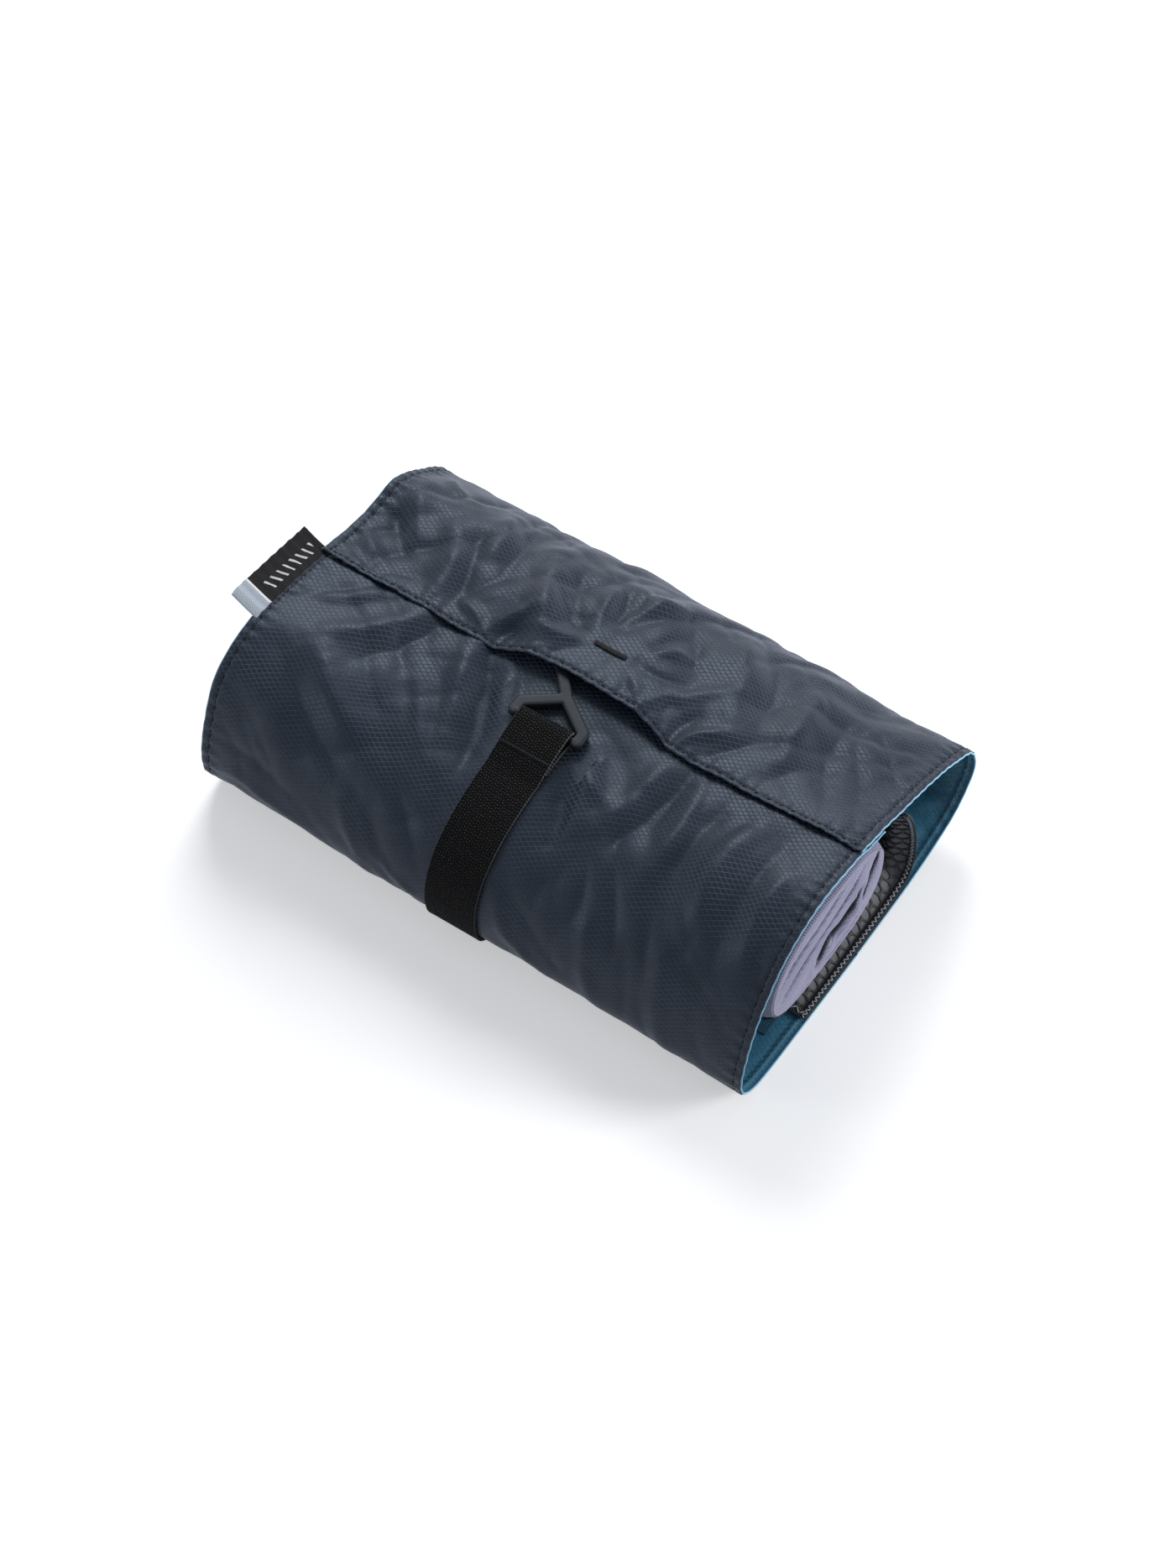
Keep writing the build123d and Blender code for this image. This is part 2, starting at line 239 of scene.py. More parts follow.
shell_finish = ripstop(
    "shell_ripstop", (0.0048, 0.0080, 0.0165), (0.0092, 0.0143, 0.0265), (0.060, 0.068, 0.082), 0.34, 0.85,
    Sheen_Weight=0.20, Sheen_Roughness=0.28, Sheen_Tint=(0.42, 0.58, 1.0, 1.0), Specular_IOR_Level=0.29,
    Specular_Tint=(0.66, 0.81, 1.0, 1.0),
)
lining_finish = ripstop(
    "lining_ripstop", (0.007, 0.072, 0.135), (0.048, 0.235, 0.360), (0.008, 0.042, 0.078), 0.27, 0.5,
    Sheen_Weight=0.10, Sheen_Roughness=0.4, Sheen_Tint=(0.6, 0.8, 1.0, 1.0), Specular_IOR_Level=0.65,
)


def thread_finish(name, dark, light, sheen=0.2):
    """Twisted thread, a little fuzzy."""
    finish = Finish(name)
    place = finish.place()
    fuzz = finish.clouds(place, 900.0, 3.0)
    twist = finish.clouds(place, 3500.0, 2.0)
    colour = finish.tint(fuzz, dark, light)
    return finish.surface(colour, 0.62 + fuzz * 0.2, twist, 0.08, Sheen_Weight=sheen, Specular_IOR_Level=0.2)


dark_thread = thread_finish("dark_thread", (0.0015, 0.0018, 0.0028), (0.007, 0.008, 0.012), 0.03)
pale_thread = thread_finish("pale_thread", (0.30, 0.34, 0.37), (0.52, 0.56, 0.58))
blue_thread = thread_finish("blue_thread", (0.006, 0.022, 0.045), (0.016, 0.052, 0.095), 0.05)


def elastic_finish():
    finish = Finish("knitted_elastic")
    along, side, both = finish.across()
    shift = (side * 2.4).sine() * 0.35
    ribs = (along * 5.2 + shift * 3.0).sine() * 0.5 + 0.5
    loops = (side * 4.6 + (along * 2.6).sine() * 1.2).sine() * 0.5 + 0.5
    knit = ribs * loops
    fuzz = finish.clouds(both, 1.6, 3.0)
    edge = abs(along).ramp(12.05, 12.25)
    worn = fuzz.ramp(0.42, 0.68) * 0.8 + 0.2
    cloth = finish.tint(knit.ramp(0.25, 0.8) * worn, (0.0006, 0.0006, 0.0009), (0.105, 0.108, 0.116))
    colour = finish.tint(edge * 0.8, cloth, (0.085, 0.088, 0.092))
    height = knit + fuzz * 0.25
    return finish.surface(colour, 0.78 + knit * 0.12, height, 0.70, Specular_IOR_Level=0.08)


def woven_tape(name, dark, light):
    finish = Finish(name)
    along, side, both = finish.across()
    ribs = ((along * 6.3).sine() * 0.5 + 0.5) * ((side * 6.3).sine() * 0.5 + 0.5)
    fuzz = finish.clouds(both, 0.9, 3.0)
    colour = finish.tint(ribs * 0.6 + fuzz * 0.4, dark, light)
    return finish.surface(colour, 0.7 + fuzz * 0.15, ribs + fuzz * 0.3, 0.2, Specular_IOR_Level=0.3)


def jersey_finish():
    """Ribbed jersey. The third cloth coordinate says where painted shade darkens the slits between two layers.
    """
    finish = Finish("folded_jersey")
    along, side, both = finish.across()
    ribs = (side * 5.0 + (along * 0.35).sine() * 0.8).sine() * 0.5 + 0.5
    loops = (along * 6.0).sine() * 0.5 + 0.5
    fuzz = finish.clouds(both, 1.1, 4.0, 0.7)
    broad = finish.clouds(both, 0.06, 2.0)
    cloth = finish.tint(broad, (0.155, 0.150, 0.235), (0.235, 0.228, 0.340))
    slit_painted_shade = finish.node("ShaderNodeSeparateXYZ", None, {0: both}, "Z")
    knit = finish.tint(ribs * 0.35 + fuzz * 0.45, cloth, (0.32, 0.31, 0.45))
    # painted shade: where the third coordinate says, the colour goes almost to black, for the slits' shadowed
    # recesses
    colour = finish.tint(slit_painted_shade.ramp(0.12, 0.45) * 0.97, knit, (0.006, 0.006, 0.010))
    height = ribs * (loops * 0.4 + 0.6) + fuzz * 0.8
    return finish.surface(colour, 0.85, height, 0.30, Sheen_Weight=0.3, Sheen_Roughness=0.5,
                          Specular_IOR_Level=0.2)


def net_finish():
    finish = Finish("net_knit")
    along, side, both = finish.across()
    knit = woven(along, side, 8.0)
    fuzz = finish.clouds(both, 1.5, 3.0)
    colour = finish.tint(knit * 0.5 + fuzz * 0.5, (0.004, 0.004, 0.005), (0.018, 0.018, 0.021))
    return finish.surface(colour, 0.55 + fuzz * 0.2, knit, 0.12)


def padding_finish():
    finish = Finish("pocket_padding_cloth")
    along, side, both = finish.across()
    weave = woven(along, side, 7.0)
    fuzz = finish.clouds(both, 0.5, 4.0)
    colour = finish.tint(weave * 0.3 + fuzz * 0.6, (0.095, 0.099, 0.106), (0.165, 0.170, 0.180))
    return finish.surface(colour, 0.78 + fuzz * 0.12, weave * 0.5 + fuzz, 0.2, Sheen_Weight=0.1)


def plastic_finish():
    finish = Finish("moulded_plastic")
    place = finish.place()
    grain = finish.clouds(place, 1400.0, 3.0)
    handling = finish.clouds(place, 90.0, 4.0)
    colour = finish.tint(handling, (0.0065, 0.0075, 0.0095), (0.015, 0.017, 0.020))
    return finish.surface(colour, 0.36 + handling * 0.16, grain, 0.035, Specular_IOR_Level=0.15,
                          Specular_Tint=(0.80, 0.90, 1.0, 1.0))


def metal_finish():
    finish = Finish("coated_zip_metal")
    place = finish.place()
    wear = finish.clouds(place, 260.0, 5.0, 0.7)
    colour = finish.tint(wear.ramp(0.45, 0.7), (0.045, 0.047, 0.052), (0.16, 0.165, 0.175))
    return finish.surface(colour, 0.30 + wear * 0.25, wear, 0.03, Metallic=0.85)


def coil_finish():
    finish = Finish("zip_coil_nylon")
    place = finish.place()
    speckle = finish.clouds(place, 700.0, 2.0)
    colour = finish.tint(speckle, (0.006, 0.028, 0.050), (0.016, 0.060, 0.098))
    return finish.surface(colour, 0.32 + speckle * 0.2, speckle, 0.03)


def label_finish():
    """Black woven ground with a row of slanted bars, a white rule, and a pale blue-grey end."""
    finish = Finish("woven_label")
    along, side, both = finish.across()
    weave = woven(along, side, 8.0)
    fuzz = finish.clouds(both, 1.2, 3.0)
    ground = finish.tint(weave * 0.5 + fuzz * 0.4, (0.003, 0.003, 0.004), (0.013, 0.013, 0.016))
    slant = ((along + side * 0.6) * (1.0 / 4.2)).fraction()
    bars = (abs(slant - 0.5) < 0.13) * (abs(side - 5.0) < 2.1) * (along > 14.0) * (along < 45.0)
    marked = finish.tint(bars * 0.9, ground, (0.62, 0.62, 0.63))
    pale = finish.tint(weave * 0.5 + fuzz * 0.4, (0.33, 0.38, 0.44), (0.50, 0.56, 0.62))
    split = finish.tint(along < 9.0, marked, pale)
    colour = finish.tint(abs(along - 9.4) < 0.45, split, (0.75, 0.76, 0.77))
    return finish.surface(colour, 0.6 + fuzz * 0.15, weave + fuzz * 0.4, 0.14, Specular_IOR_Level=0.16)


# painted highlight: the lining's turned edge in a much lighter blue than the lining, as where it catches the
# light
lining_edge_highlight = thread_finish("lining_edge_highlight", (0.14, 0.32, 0.47), (0.30, 0.55, 0.72))
elastic = elastic_finish()
binding_tape = woven_tape("binding_tape", (0.012, 0.013, 0.015), (0.055, 0.060, 0.068))
zip_tape_cloth = woven_tape("zip_tape_cloth", (0.008, 0.050, 0.088), (0.030, 0.120, 0.185))
ribbon_cloth = woven_tape("ribbon_cloth", (0.006, 0.006, 0.008), (0.024, 0.024, 0.028))
jersey = jersey_finish()
net_knit = net_finish()
padding_cloth = padding_finish()
plastic = plastic_finish()
zip_metal = metal_finish()
coil_nylon = coil_finish()
label_cloth = label_finish()

# The studio: an even pale room, white where the camera looks past the object.
world.use_nodes = True
room = Finish("studio", world.node_tree)
shade = room.tint(room.backdrop(), (0.225, 0.245, 0.28), (1.0, 1.0, 1.0))
room.close(room.node("ShaderNodeBackground", None, {"Color": shade, "Strength": 1.0}))

bpy.ops.mesh.primitive_grid_add(x_subdivisions=8, y_subdivisions=8, size=6.0, location=(0.0, 0.0, -0.0002))
floor = bpy.context.object
floor.name = "studio_floor"
ground = Finish("floor_paper")
paper = ground.clouds(ground.place(), 40.0, 3.0)
pale_paper = ground.tint(paper, (0.80, 0.80, 0.80), (0.82, 0.82, 0.82))
matt = ground.node("ShaderNodeBsdfDiffuse", None, {"Color": pale_paper})
glow_strength = ground.backdrop() * 0.42
glow = ground.node("ShaderNodeEmission", None, {"Color": (1.0, 1.0, 1.0, 1.0), "Strength": glow_strength})
ground.close(ground.node("ShaderNodeAddShader", None, {0: matt, 1: glow}))
floor.data.materials.append(ground.material)


# ---------------------------------------------------------------- lines and surfaces
def smooth(t):
    t = np.clip(t, 0.0, 1.0)
    return t * t * (3.0 - 2.0 * t)


def walked(line):
    """Distance travelled along a line of points."""
    steps = np.linalg.norm(np.diff(line, axis=0), axis=1)
    return np.concatenate([[0.0], np.cumsum(steps)])


def spaced(line, distances):
    travelled = walked(line)
    return np.stack([np.interp(distances, travelled, line[:, k]) for k in range(line.shape[1])], axis=1)


def flowing(knots, count=240):
    """A smooth line through the knots, with evenly spaced points."""
    points = np.array(knots, float)
    gaps = np.sqrt(np.linalg.norm(np.diff(points, axis=0), axis=1))
    times = np.concatenate([[0.0], np.cumsum(gaps)])
    slopes = np.diff(points, axis=0) / gaps[:, None]
    tangents = np.empty_like(points)
    tangents[0], tangents[-1] = slopes[0], slopes[-1]
    before, after = gaps[:-1, None], gaps[1:, None]
    tangents[1:-1] = (slopes[1:] * before + slopes[:-1] * after) / (before + after)
    t = np.linspace(0.0, times[-1], 48 * len(points))
    i = np.clip(np.searchsorted(times, t, side="right") - 1, 0, len(gaps) - 1)
    h = gaps[i][:, None]
    u = ((t - times[i]) / gaps[i])[:, None]
    line = ((2 * u**3 - 3 * u**2 + 1) * points[i] + (u**3 - 2 * u**2 + u) * h * tangents[i]
            + (-2 * u**3 + 3 * u**2) * points[i + 1] + (u**3 - u**2) * h * tangents[i + 1])
    return spaced(line, np.linspace(0.0, walked(line)[-1], count))


bag_centre = np.array((0.0, 38.0))


def normals_of(grid):
    """Unit normals of a grid of points, from its rows and columns."""
    down = np.gradient(grid, axis=0)
    along = np.gradient(grid, axis=1)
    cross = np.cross(along, down)
    cross /= np.maximum(np.linalg.norm(cross, axis=2, keepdims=True), 1e-9)
    outward = grid[:, :, 1:] - bag_centre
    return cross * np.sign((cross[:, :, 1:] * outward).sum())


def make_piece(name, points, faces, finish, cloth=None, crisp=None):
    """A named mesh from points in millimetres. Cloth holds the finish's coordinates for each point."""
    mesh = bpy.data.meshes.new(name)
    mesh.from_pydata((np.asarray(points) * MM).tolist(), [], faces)
    mesh.update()
    shape = bmesh.new()
    shape.from_mesh(mesh)
    bmesh.ops.recalc_face_normals(shape, faces=shape.faces)
    shape.to_mesh(mesh)
    shape.free()
    if cloth is not None:
        flat = np.zeros((len(points), 3), np.float32)
        given = np.asarray(cloth, np.float32)
        flat[:, :given.shape[1]] = given
        attribute = mesh.attributes.new("cloth", "FLOAT_VECTOR", "POINT")
        attribute.data.foreach_set("vector", flat.ravel())
    mesh.polygons.foreach_set("use_smooth", [True] * len(mesh.polygons))
    if crisp is not None:
        mesh.set_sharp_from_angle(angle=math.radians(crisp))
    mesh.materials.append(finish)
    piece = bpy.data.objects.new(name, mesh)
    scene.collection.objects.link(piece)
    return piece


def layered(name, outer, inner, cloth, finish, lip=0.3):
    """A closed sheet between two grids of points, with a rounded lip round its border."""
    rows, columns = outer.shape[:2]
    index = np.arange(rows * columns).reshape(rows, columns)
    count = rows * columns
    border = list(index[0, :]) + list(index[1:, -1]) + list(index[-1, -2::-1]) + list(index[-2:0:-1, 0])
    flat_outer, flat_inner = outer.reshape(-1, 3), inner.reshape(-1, 3)
    middle = (flat_outer + flat_inner) / 2.0
    inward = np.zeros_like(outer)
    inward[0] += outer[0] - outer[1]
    inward[-1] += outer[-1] - outer[-2]
    inward[:, 0] += outer[:, 0] - outer[:, 1]
    inward[:, -1] += outer[:, -1] - outer[:, -2]
    away = inward.reshape(-1, 3)[border]
    away = away / np.maximum(np.linalg.norm(away, axis=1, keepdims=True), 1e-9)
    rim = middle[border] + away * lip
    a, b = index[:-1, :-1].ravel(), index[:-1, 1:].ravel()
    c, d = index[1:, 1:].ravel(), index[1:, :-1].ravel()
    faces = np.stack([a, d, c, b], axis=1).tolist()
    faces += np.stack([a + count, b + count, c + count, d + count], axis=1).tolist()
    for k, here in enumerate(border):
        follow = (k + 1) % len(border)
        after = border[follow]
        edge, edge_after = 2 * count + k, 2 * count + follow
        faces.append([int(here), int(after), edge_after, edge])
        faces.append([edge, edge_after, int(after) + count, int(here) + count])
    points = np.concatenate([flat_outer, flat_inner, rim])
    coordinates = cloth.reshape(-1, 2)
    coordinates = np.concatenate([coordinates, coordinates, coordinates[border]])
    return make_piece(name, points, faces, finish, coordinates, 55.0)


def tube_faces(base, rings, around):
    """Faces between rings of points that follow one another, and a flat cap on both ends."""
    faces = []
    last = base + (rings - 1) * around
    for low in range(base, last, around):
        for k in range(around):
            nxt = (k + 1) % around
            faces.append([low + k, low + nxt, low + around + nxt, low + around + k])
    faces.append(list(range(base, base + around))[::-1])
    faces.append(list(range(last, last + around)))
    return faces


def threads(name, starts, ends, radius, finish, ups=None, sides=6):
    """Short round stitches from each start to each end."""
    starts, ends = np.asarray(starts, float), np.asarray(ends, float)
    axis = ends - starts
    length = np.linalg.norm(axis, axis=1, keepdims=True)
    axis = axis / np.maximum(length, 1e-9)
    helper = np.asarray(ups, float) if ups is not None else np.tile([0.0, 0.0, 1.0], (len(starts), 1))
    across = np.cross(axis, helper)
    across /= np.maximum(np.linalg.norm(across, axis=1, keepdims=True), 1e-9)
    up = np.cross(across, axis)
    points, faces = [], []
    swell = ((0.0, 0.35), (0.14, 0.85), (0.5, 1.08), (0.86, 0.85), (1.0, 0.35))
    ring = [(math.cos(2 * math.pi * k / sides), math.sin(2 * math.pi * k / sides)) for k in range(sides)]
    for n in range(len(starts)):
        faces += tube_faces(len(points), len(swell), sides)
        for share, thick in swell:
            centre = starts[n] + axis[n] * length[n] * share
            for c, s in ring:
                points.append(centre + (across[n] * c + up[n] * s * 0.8) * radius * thick)
    return make_piece(name, points, faces, finish)


def stitch_row(line, ups, stitch=2.2, gap=0.9, proud=0.16):
    """Starts, ends and upward directions of a row of stitches along a line."""
    travelled = walked(line)
    starts, ends, normals = [], [], []
    margin = 1.0
    at = margin
    while at + stitch < travelled[-1] - margin:
        pair = spaced(line, [at, at + stitch])
        up = ups[min(int(np.searchsorted(travelled, at + stitch / 2)), len(ups) - 1)]
        starts.append(pair[0] + up * proud)
        ends.append(pair[1] + up * proud)
        normals.append(up)
        at += stitch + gap * random.uniform(0.85, 1.15)
    return starts, ends, normals


# ---------------------------------------------------------------- the bag's cross-section
x_left, x_right = -130.0, 140.0

# Each list runs from the middle of the underside, round a fold and up to the top, as (y, z).
near_left = [(0, .5), (-35, .5), (-60, 1), (-75, 4.5), (-82, 13), (-83.5, 24), (-81, 38), (-77, 50), (-71, 62),
             (-61, 71), (-43, 76.2), (-20, 75.0), (-4, 72.5), (14, 68.5)]
near_middle = [(0, .5), (-38, .6), (-56, 1.8), (-70, 2.6), (-80, 6), (-85.5, 14), (-87, 25), (-85.5, 36),
               (-79.5, 48), (-67, 58.5), (-47, 66), (-19.4, 69.7), (0, 70.9), (14, 70.9)]
near_right = [(0, .5), (-42, .5), (-66, .7), (-79, 3), (-86, 9), (-88.6, 18), (-86.3, 32), (-80, 48),
              (-72, 61.5), (-61, 73), (-47, 80.3), (-32, 83), (-12, 81.2), (14, 77)]
far_left = [(0, .5), (38, .5), (62, 1.8), (78, 7.5), (88, 19), (92, 30), (91, 39), (85, 46.5), (75, 55),
            (65, 62.5), (56, 67), (47, 67), (36, 66), (22, 67.4), (8, 72.0), (-10, 74.5)]
far_middle = [(0, .5), (42, .5), (64, 1.8), (79, 7), (88, 16), (92, 28), (91, 39), (84.5, 50.5), (73, 61.5),
              (56, 70.5), (38, 75.2), (24, 77), (8, 77.6), (-10, 77.6)]
far_right = [(0, 1), (20, 1.9), (40, 3.2), (59, 6.6), (75, 12), (85, 20), (90, 30), (89, 39), (84.5, 47),
             (76, 53.5), (64, 60), (50, 65.8), (34, 71), (16, 76), (-10, 81)]


def station_shares(x):
    """How much of the left end, the middle and the right end there is in the cross-section at x."""
    left = smooth((-24.0 - x) / (-24.0 - x_left))
    right = smooth((x - 18.0) / (x_right - 18.0))
    return left, 1.0 - left - right, right


def flap_edge(x):
    """Where the flap's free edge runs. It bows back over the hook."""
    known_x = [-130, -90, -56, -43, -31, -12, 2, 26, 38, 48, 62, 100, 140]
    known_y = [5.0, 4.2, 3.0, 2.2, 4.6, 6.8, 6.6, 5.2, 2.6, -1.4, -2.0, -3.4, -4.4]
    return np.interp(x, known_x, known_y)


def hook_lift(x):
    """The flap stands clear of the front over the hook, between its two kinks."""
    return smooth((x + 45.0) / 22.0) * smooth((50.0 - x) / 24.0)


def between(first, last, step, fine, margin):
    """Spacing that is fine near both ends."""
    start = np.arange(0.0, margin, fine)
    inner = np.linspace(margin, (last - first) - margin, int(round((last - first - 2 * margin) / step)) + 1)
    end = (last - first) - start[::-1]
    return first + np.concatenate([start, inner, end])


columns = between(x_left, x_right, 1.45, 0.6, 6.0)
near_curves = [flowing(k) for k in (near_left, near_middle, near_right)]
far_curves = [flowing(k) for k in (far_left, far_middle, far_right)]


def section(curves, x):
    """The bag's half cross-section at x, as (y, z) points."""
    shares = station_shares(x)
    return sum(share * curve for share, curve in zip(shares, curves))


def half_grid(curves, rows, edge=None):
    """Points of one half of the bag, and how far along the cross-section each lies. Edge is where it ends."""
    grid = np.zeros((len(rows), len(columns), 3))
    reach = np.zeros((len(rows), len(columns)))
    for j, x in enumerate(columns):
        line = section(curves, x)
        travelled = walked(line)
        stop = travelled[-1]
        if edge:
            upper = slice(len(line) // 2, None)
            stop = float(np.interp(-edge(x), -line[upper, 0], travelled[upper]))
        reach[:, j] = rows * stop
        grid[:, j, 0] = x
        grid[:, j, 1:] = spaced(line, reach[:, j])
    return grid, reach


underside_rows = np.linspace(0.0, 0.24, 20)[:-1]
near_rows = np.concatenate([underside_rows, np.linspace(0.24, 0.975, 118), [0.983, 0.991, 1.0]])
far_rows = np.concatenate([underside_rows, np.linspace(0.24, 0.965, 112), np.linspace(0.965, 1.0, 15)[1:]])
near_base, near_reach = half_grid(near_curves, near_rows)
far_base, far_reach = half_grid(far_curves, far_rows, flap_edge)

# The flap's edge comes down on the front panel, except over the hook, and the front stays under the flap.
upper_side = 45.0
edge_rise, hook_room = 1.25, 5.3
for j, x in enumerate(columns):
    front, flap = near_base[:, j], far_base[:, j]
    top = front[front[:, 2] > upper_side]
    edge_y = flap[-1, 1]
    front_z = np.interp(edge_y, top[:, 1], top[:, 2])
    drop = front_z + edge_rise + hook_room * hook_lift(x) - flap[-1, 2]
    settle = smooth((34.0 - flap[:, 1]) / (34.0 - edge_y)) * (flap[:, 2] > 40.0)
    flap[:, 2] += drop * settle
    upper = flap[flap[:, 2] > upper_side][::-1]
    past_edge = front[:, 1] - edge_y
    under = np.interp(front[:, 1], upper[:, 1], upper[:, 2]) - 1.9 - 1.2 * smooth(past_edge / 6.0)
    hidden = (past_edge > 0.8) & (front[:, 2] > upper_side)
    front[hidden, 2] = np.minimum(front[hidden, 2], under[hidden])


# ---------------------------------------------------------------- creases
def cloudy(u, v, seed):
    """Noise at each point, from -1 to 1."""
    flat = [noise.noise(Vector((a, b, seed))) for a, b in zip(u.ravel(), v.ravel())]
    return np.array(flat).reshape(u.shape)


# Creases as (width, height, points). Points are (x, y) on the upper side, or (x, y, z) lower down.
creases = [
    # round the tack that holds the ribbon
    (3.4, 1.5, [(-8, 30), (-13, 42), (-16, 58)]),
    (2.6, 1.0, [(-4, 31), (-3, 45), (4, 62)]),
    (3.0, -1.2, [(-10, 28), (-24, 34), (-40, 46)]),
    (2.6, 1.1, [(-9, 24), (-22, 20), (-36, 19)]),
    (2.4, -0.9, [(-7, 22), (-16, 13), (-24, 8)]),
    (3.0, 1.2, [(11, 29), (20, 38), (34, 46)]),
    (2.4, -1.1, [(12, 26), (24, 25), (38, 29)]),
    (2.6, 1.0, [(11, 23), (20, 15), (27, 7)]),
    (2.2, -0.8, [(4, 22), (8, 13), (10, 8)]),
    (4.0, -1.5, [(-1, 32), (-8, 50), (-12, 66)]),
    # from the kinks of the flap's edge
    (2.6, 1.7, [(-44, 2), (-47, 9), (-43, 18), (-38, 27)]),
    (3.0, -1.5, [(-41, 3), (-41, 10), (-36, 20)]),
    (2.6, 1.2, [(-46, 3), (-56, 12), (-70, 17)]),
    (2.6, 1.6, [(48, -1), (52, 8), (64, 18)]),
    (2.6, -1.3, [(46, 0), (45, 9), (50, 22)]),
    (3.0, 1.0, [(27, 7), (33, 17), (55, 40)]),
    # broad soft folds of the flap
    (7.0, 2.4, [(-89, 47), (-81, 30), (-78, 8)]),
    (5.0, -2.0, [(-80, 50), (-73, 30), (-68, 12)]),
    (6.0, 2.2, [(-76, 70), (-72, 52), (-72, 38)]),
    (5.0, -1.8, [(-66, 74), (-62, 52), (-60, 36)]),
    (6.0, 2.3, [(-48, 62), (-38, 38), (-24, 12)]),
    (5.0, -1.8, [(-36, 66), (-28, 46), (-18, 30)]),
    (7.0, 2.0, [(-16, 66), (2, 62), (15, 69)]),
    (6.0, -1.7, [(8, 74), (22, 58), (34, 36)]),
    (6.5, 1.8, [(40, 70), (50, 52), (60, 30)]),
    (5.0, -1.6, [(56, 70), (66, 50), (72, 28)]),
    (6.0, 1.6, [(78, 72), (84, 48), (88, 20)]),
    (6.0, -1.4, [(96, 66), (100, 42), (108, 16)]),
    (5.5, 1.6, [(-122, 70), (-112, 48), (-100, 30)]),
    (4.5, -1.7, [(-124, 50), (-112, 34), (-98, 22)]),
    (3.6, 1.3, [(-128, 30), (-116, 20), (-104, 14)]),
    (3.0, -1.1, [(-128, 18), (-114, 11), (-100, 8)]),
    (3.0, 1.0, [(-118, 80), (-108, 72), (-94, 66)]),
    # the front panel
    (5.0, -2.2, [(-42, 2), (-34, -12), (-24, -34), (-20, -52)]),
    (5.0, 1.8, [(-50, 0), (-44, -16), (-34, -40)]),
    (4.0, 1.4, [(-30, 0), (-24, -14), (-17, -28)]),
    (5.0, 1.6, [(-74, 2), (-84, -14), (-100, -30)]),
    (4.0, -1.4, [(-66, 1), (-72, -14), (-84, -34)]),
    (3.6, 1.2, [(-92, 3), (-104, -8), (-118, -18)]),
    (4.0, -1.2, [(-100, 2), (-112, -10), (-124, -24)]),
    (7.0, 2.0, [(-104, -34), (-84, -52), (-60, -64)]),
    (6.0, -1.8, [(-112, -48), (-90, -64), (-66, -74)]),
    (6.0, 1.6, [(-60, -30), (-44, -48), (-26, -60)]),
    (5.0, -1.5, [(-70, -22), (-52, -42), (-34, -62)]),
    (4.5, 1.6, [(20, -14), (30, -32), (34, -54)]),
    (4.5, -1.9, [(17, -34), (26, -46), (30, -62)]),
    (3.6, 1.3, [(17, -24), (27, -30), (40, -34)]),
    (6.0, 1.9, [(52, -2), (50, -22), (44, -44)]),
    (6.0, -2.0, [(62, -4), (60, -26), (52, -50)]),
    (5.0, 1.7, [(70, -10), (74, -32), (72, -56)]),
    (7.0, -2.0, [(84, -10), (80, -34), (86, -60)]),
    (7.0, 2.0, [(100, -14), (96, -38), (100, -62)]),
    (5.5, -1.6, [(114, -16), (112, -40), (114, -64)]),
    (4.5, 1.5, [(124, -30), (122, -48), (126, -66)]),
    # the near fold
    (4.0, 1.8, [(-126, -83, 20), (-111, -84, 26), (-97, -86, 22), (-76, -87, 18)]),
    (3.6, -1.5, [(-120, -80, 40), (-100, -82, 38), (-80, -84, 32)]),
    (4.0, 1.6, [(-60, -82, 46), (-50, -86, 30), (-44, -86, 14)]),
    (4.0, -1.6, [(-46, -80, 50), (-38, -86, 32), (-30, -86, 14)]),
    (3.5, 1.4, [(-43, -84, 34), (-29, -87, 24), (-17, -87, 18)]),
    (4.0, 1.7, [(18, -84, 42), (28, -87, 28), (44, -87, 14)]),
    (3.6, -1.5, [(20, -80, 50), (34, -84, 40), (50, -86, 26)]),
    (4.0, 1.6, [(58, -78, 56), (64, -86, 34), (70, -87, 14)]),
    (4.0, -1.7, [(76, -78, 58), (82, -86, 36), (84, -87, 14)]),
    (4.4, 1.7, [(94, -78, 60), (98, -87, 36), (104, -88, 14)]),
    (3.6, -1.4, [(112, -80, 54), (116, -87, 34), (122, -88, 16)]),
    # the far fold
    (5.0, 1.8, [(-112, 88, 40), (-90, 91, 30), (-70, 91, 22)]),
    (5.0, -1.6, [(-70, 84, 52), (-56, 91, 36), (-40, 91, 22)]),
    (5.0, 1.7, [(-30, 80, 56), (-14, 90, 40), (6, 92, 24)]),
    (5.0, -1.6, [(20, 82, 54), (34, 91, 36), (52, 91, 22)]),
    (5.0, 1.7, [(60, 80, 54), (76, 89, 40), (92, 91, 26)]),
    (4.4, -1.5, [(100, 82, 50), (112, 89, 38), (126, 90, 26)]),
]


crease_depth = 1.65               # all the listed heights are taken this many times
flap_looseness, front_looseness = 1.3, 0.85


def crease_field(grid):
    """Height of all the listed creases at each point of a half of the bag."""
    flat = grid.reshape(-1, 3)
    total = np.zeros(len(flat))
    underneath = np.where(flat[:, 2] > 38.0, 0.0, 1e6)
    for width, height, marks in creases:
        path = []
        for mark in marks:
            if len(mark) == 2:
                gap = (flat[:, 0] - mark[0]) ** 2 + (flat[:, 1] - mark[1]) ** 2 + underneath
                mark = (*mark, flat[np.argmin(gap), 2])
            path.append(mark)
        path = flowing(path, 24)
        margin = 4 * width
        close = np.all((flat > path.min(0) - margin) & (flat < path.max(0) + margin), axis=1)
        if not close.any():
            continue
        gaps = np.linalg.norm(flat[close][:, None, :] - path[None, :, :], axis=2)
        share = gaps.argmin(1) / 23.0
        taper = np.sin(np.pi * np.clip(share * 0.9 + 0.05, 0, 1)) ** 0.6
        taper = np.where(share <= 0.001, 0.45, taper)
        blunt = 1.9 if height > 0 else 1.2
        total[close] += height * taper * np.exp(-(gaps.min(1) / width) ** blunt)
    return total.reshape(grid.shape[:2])


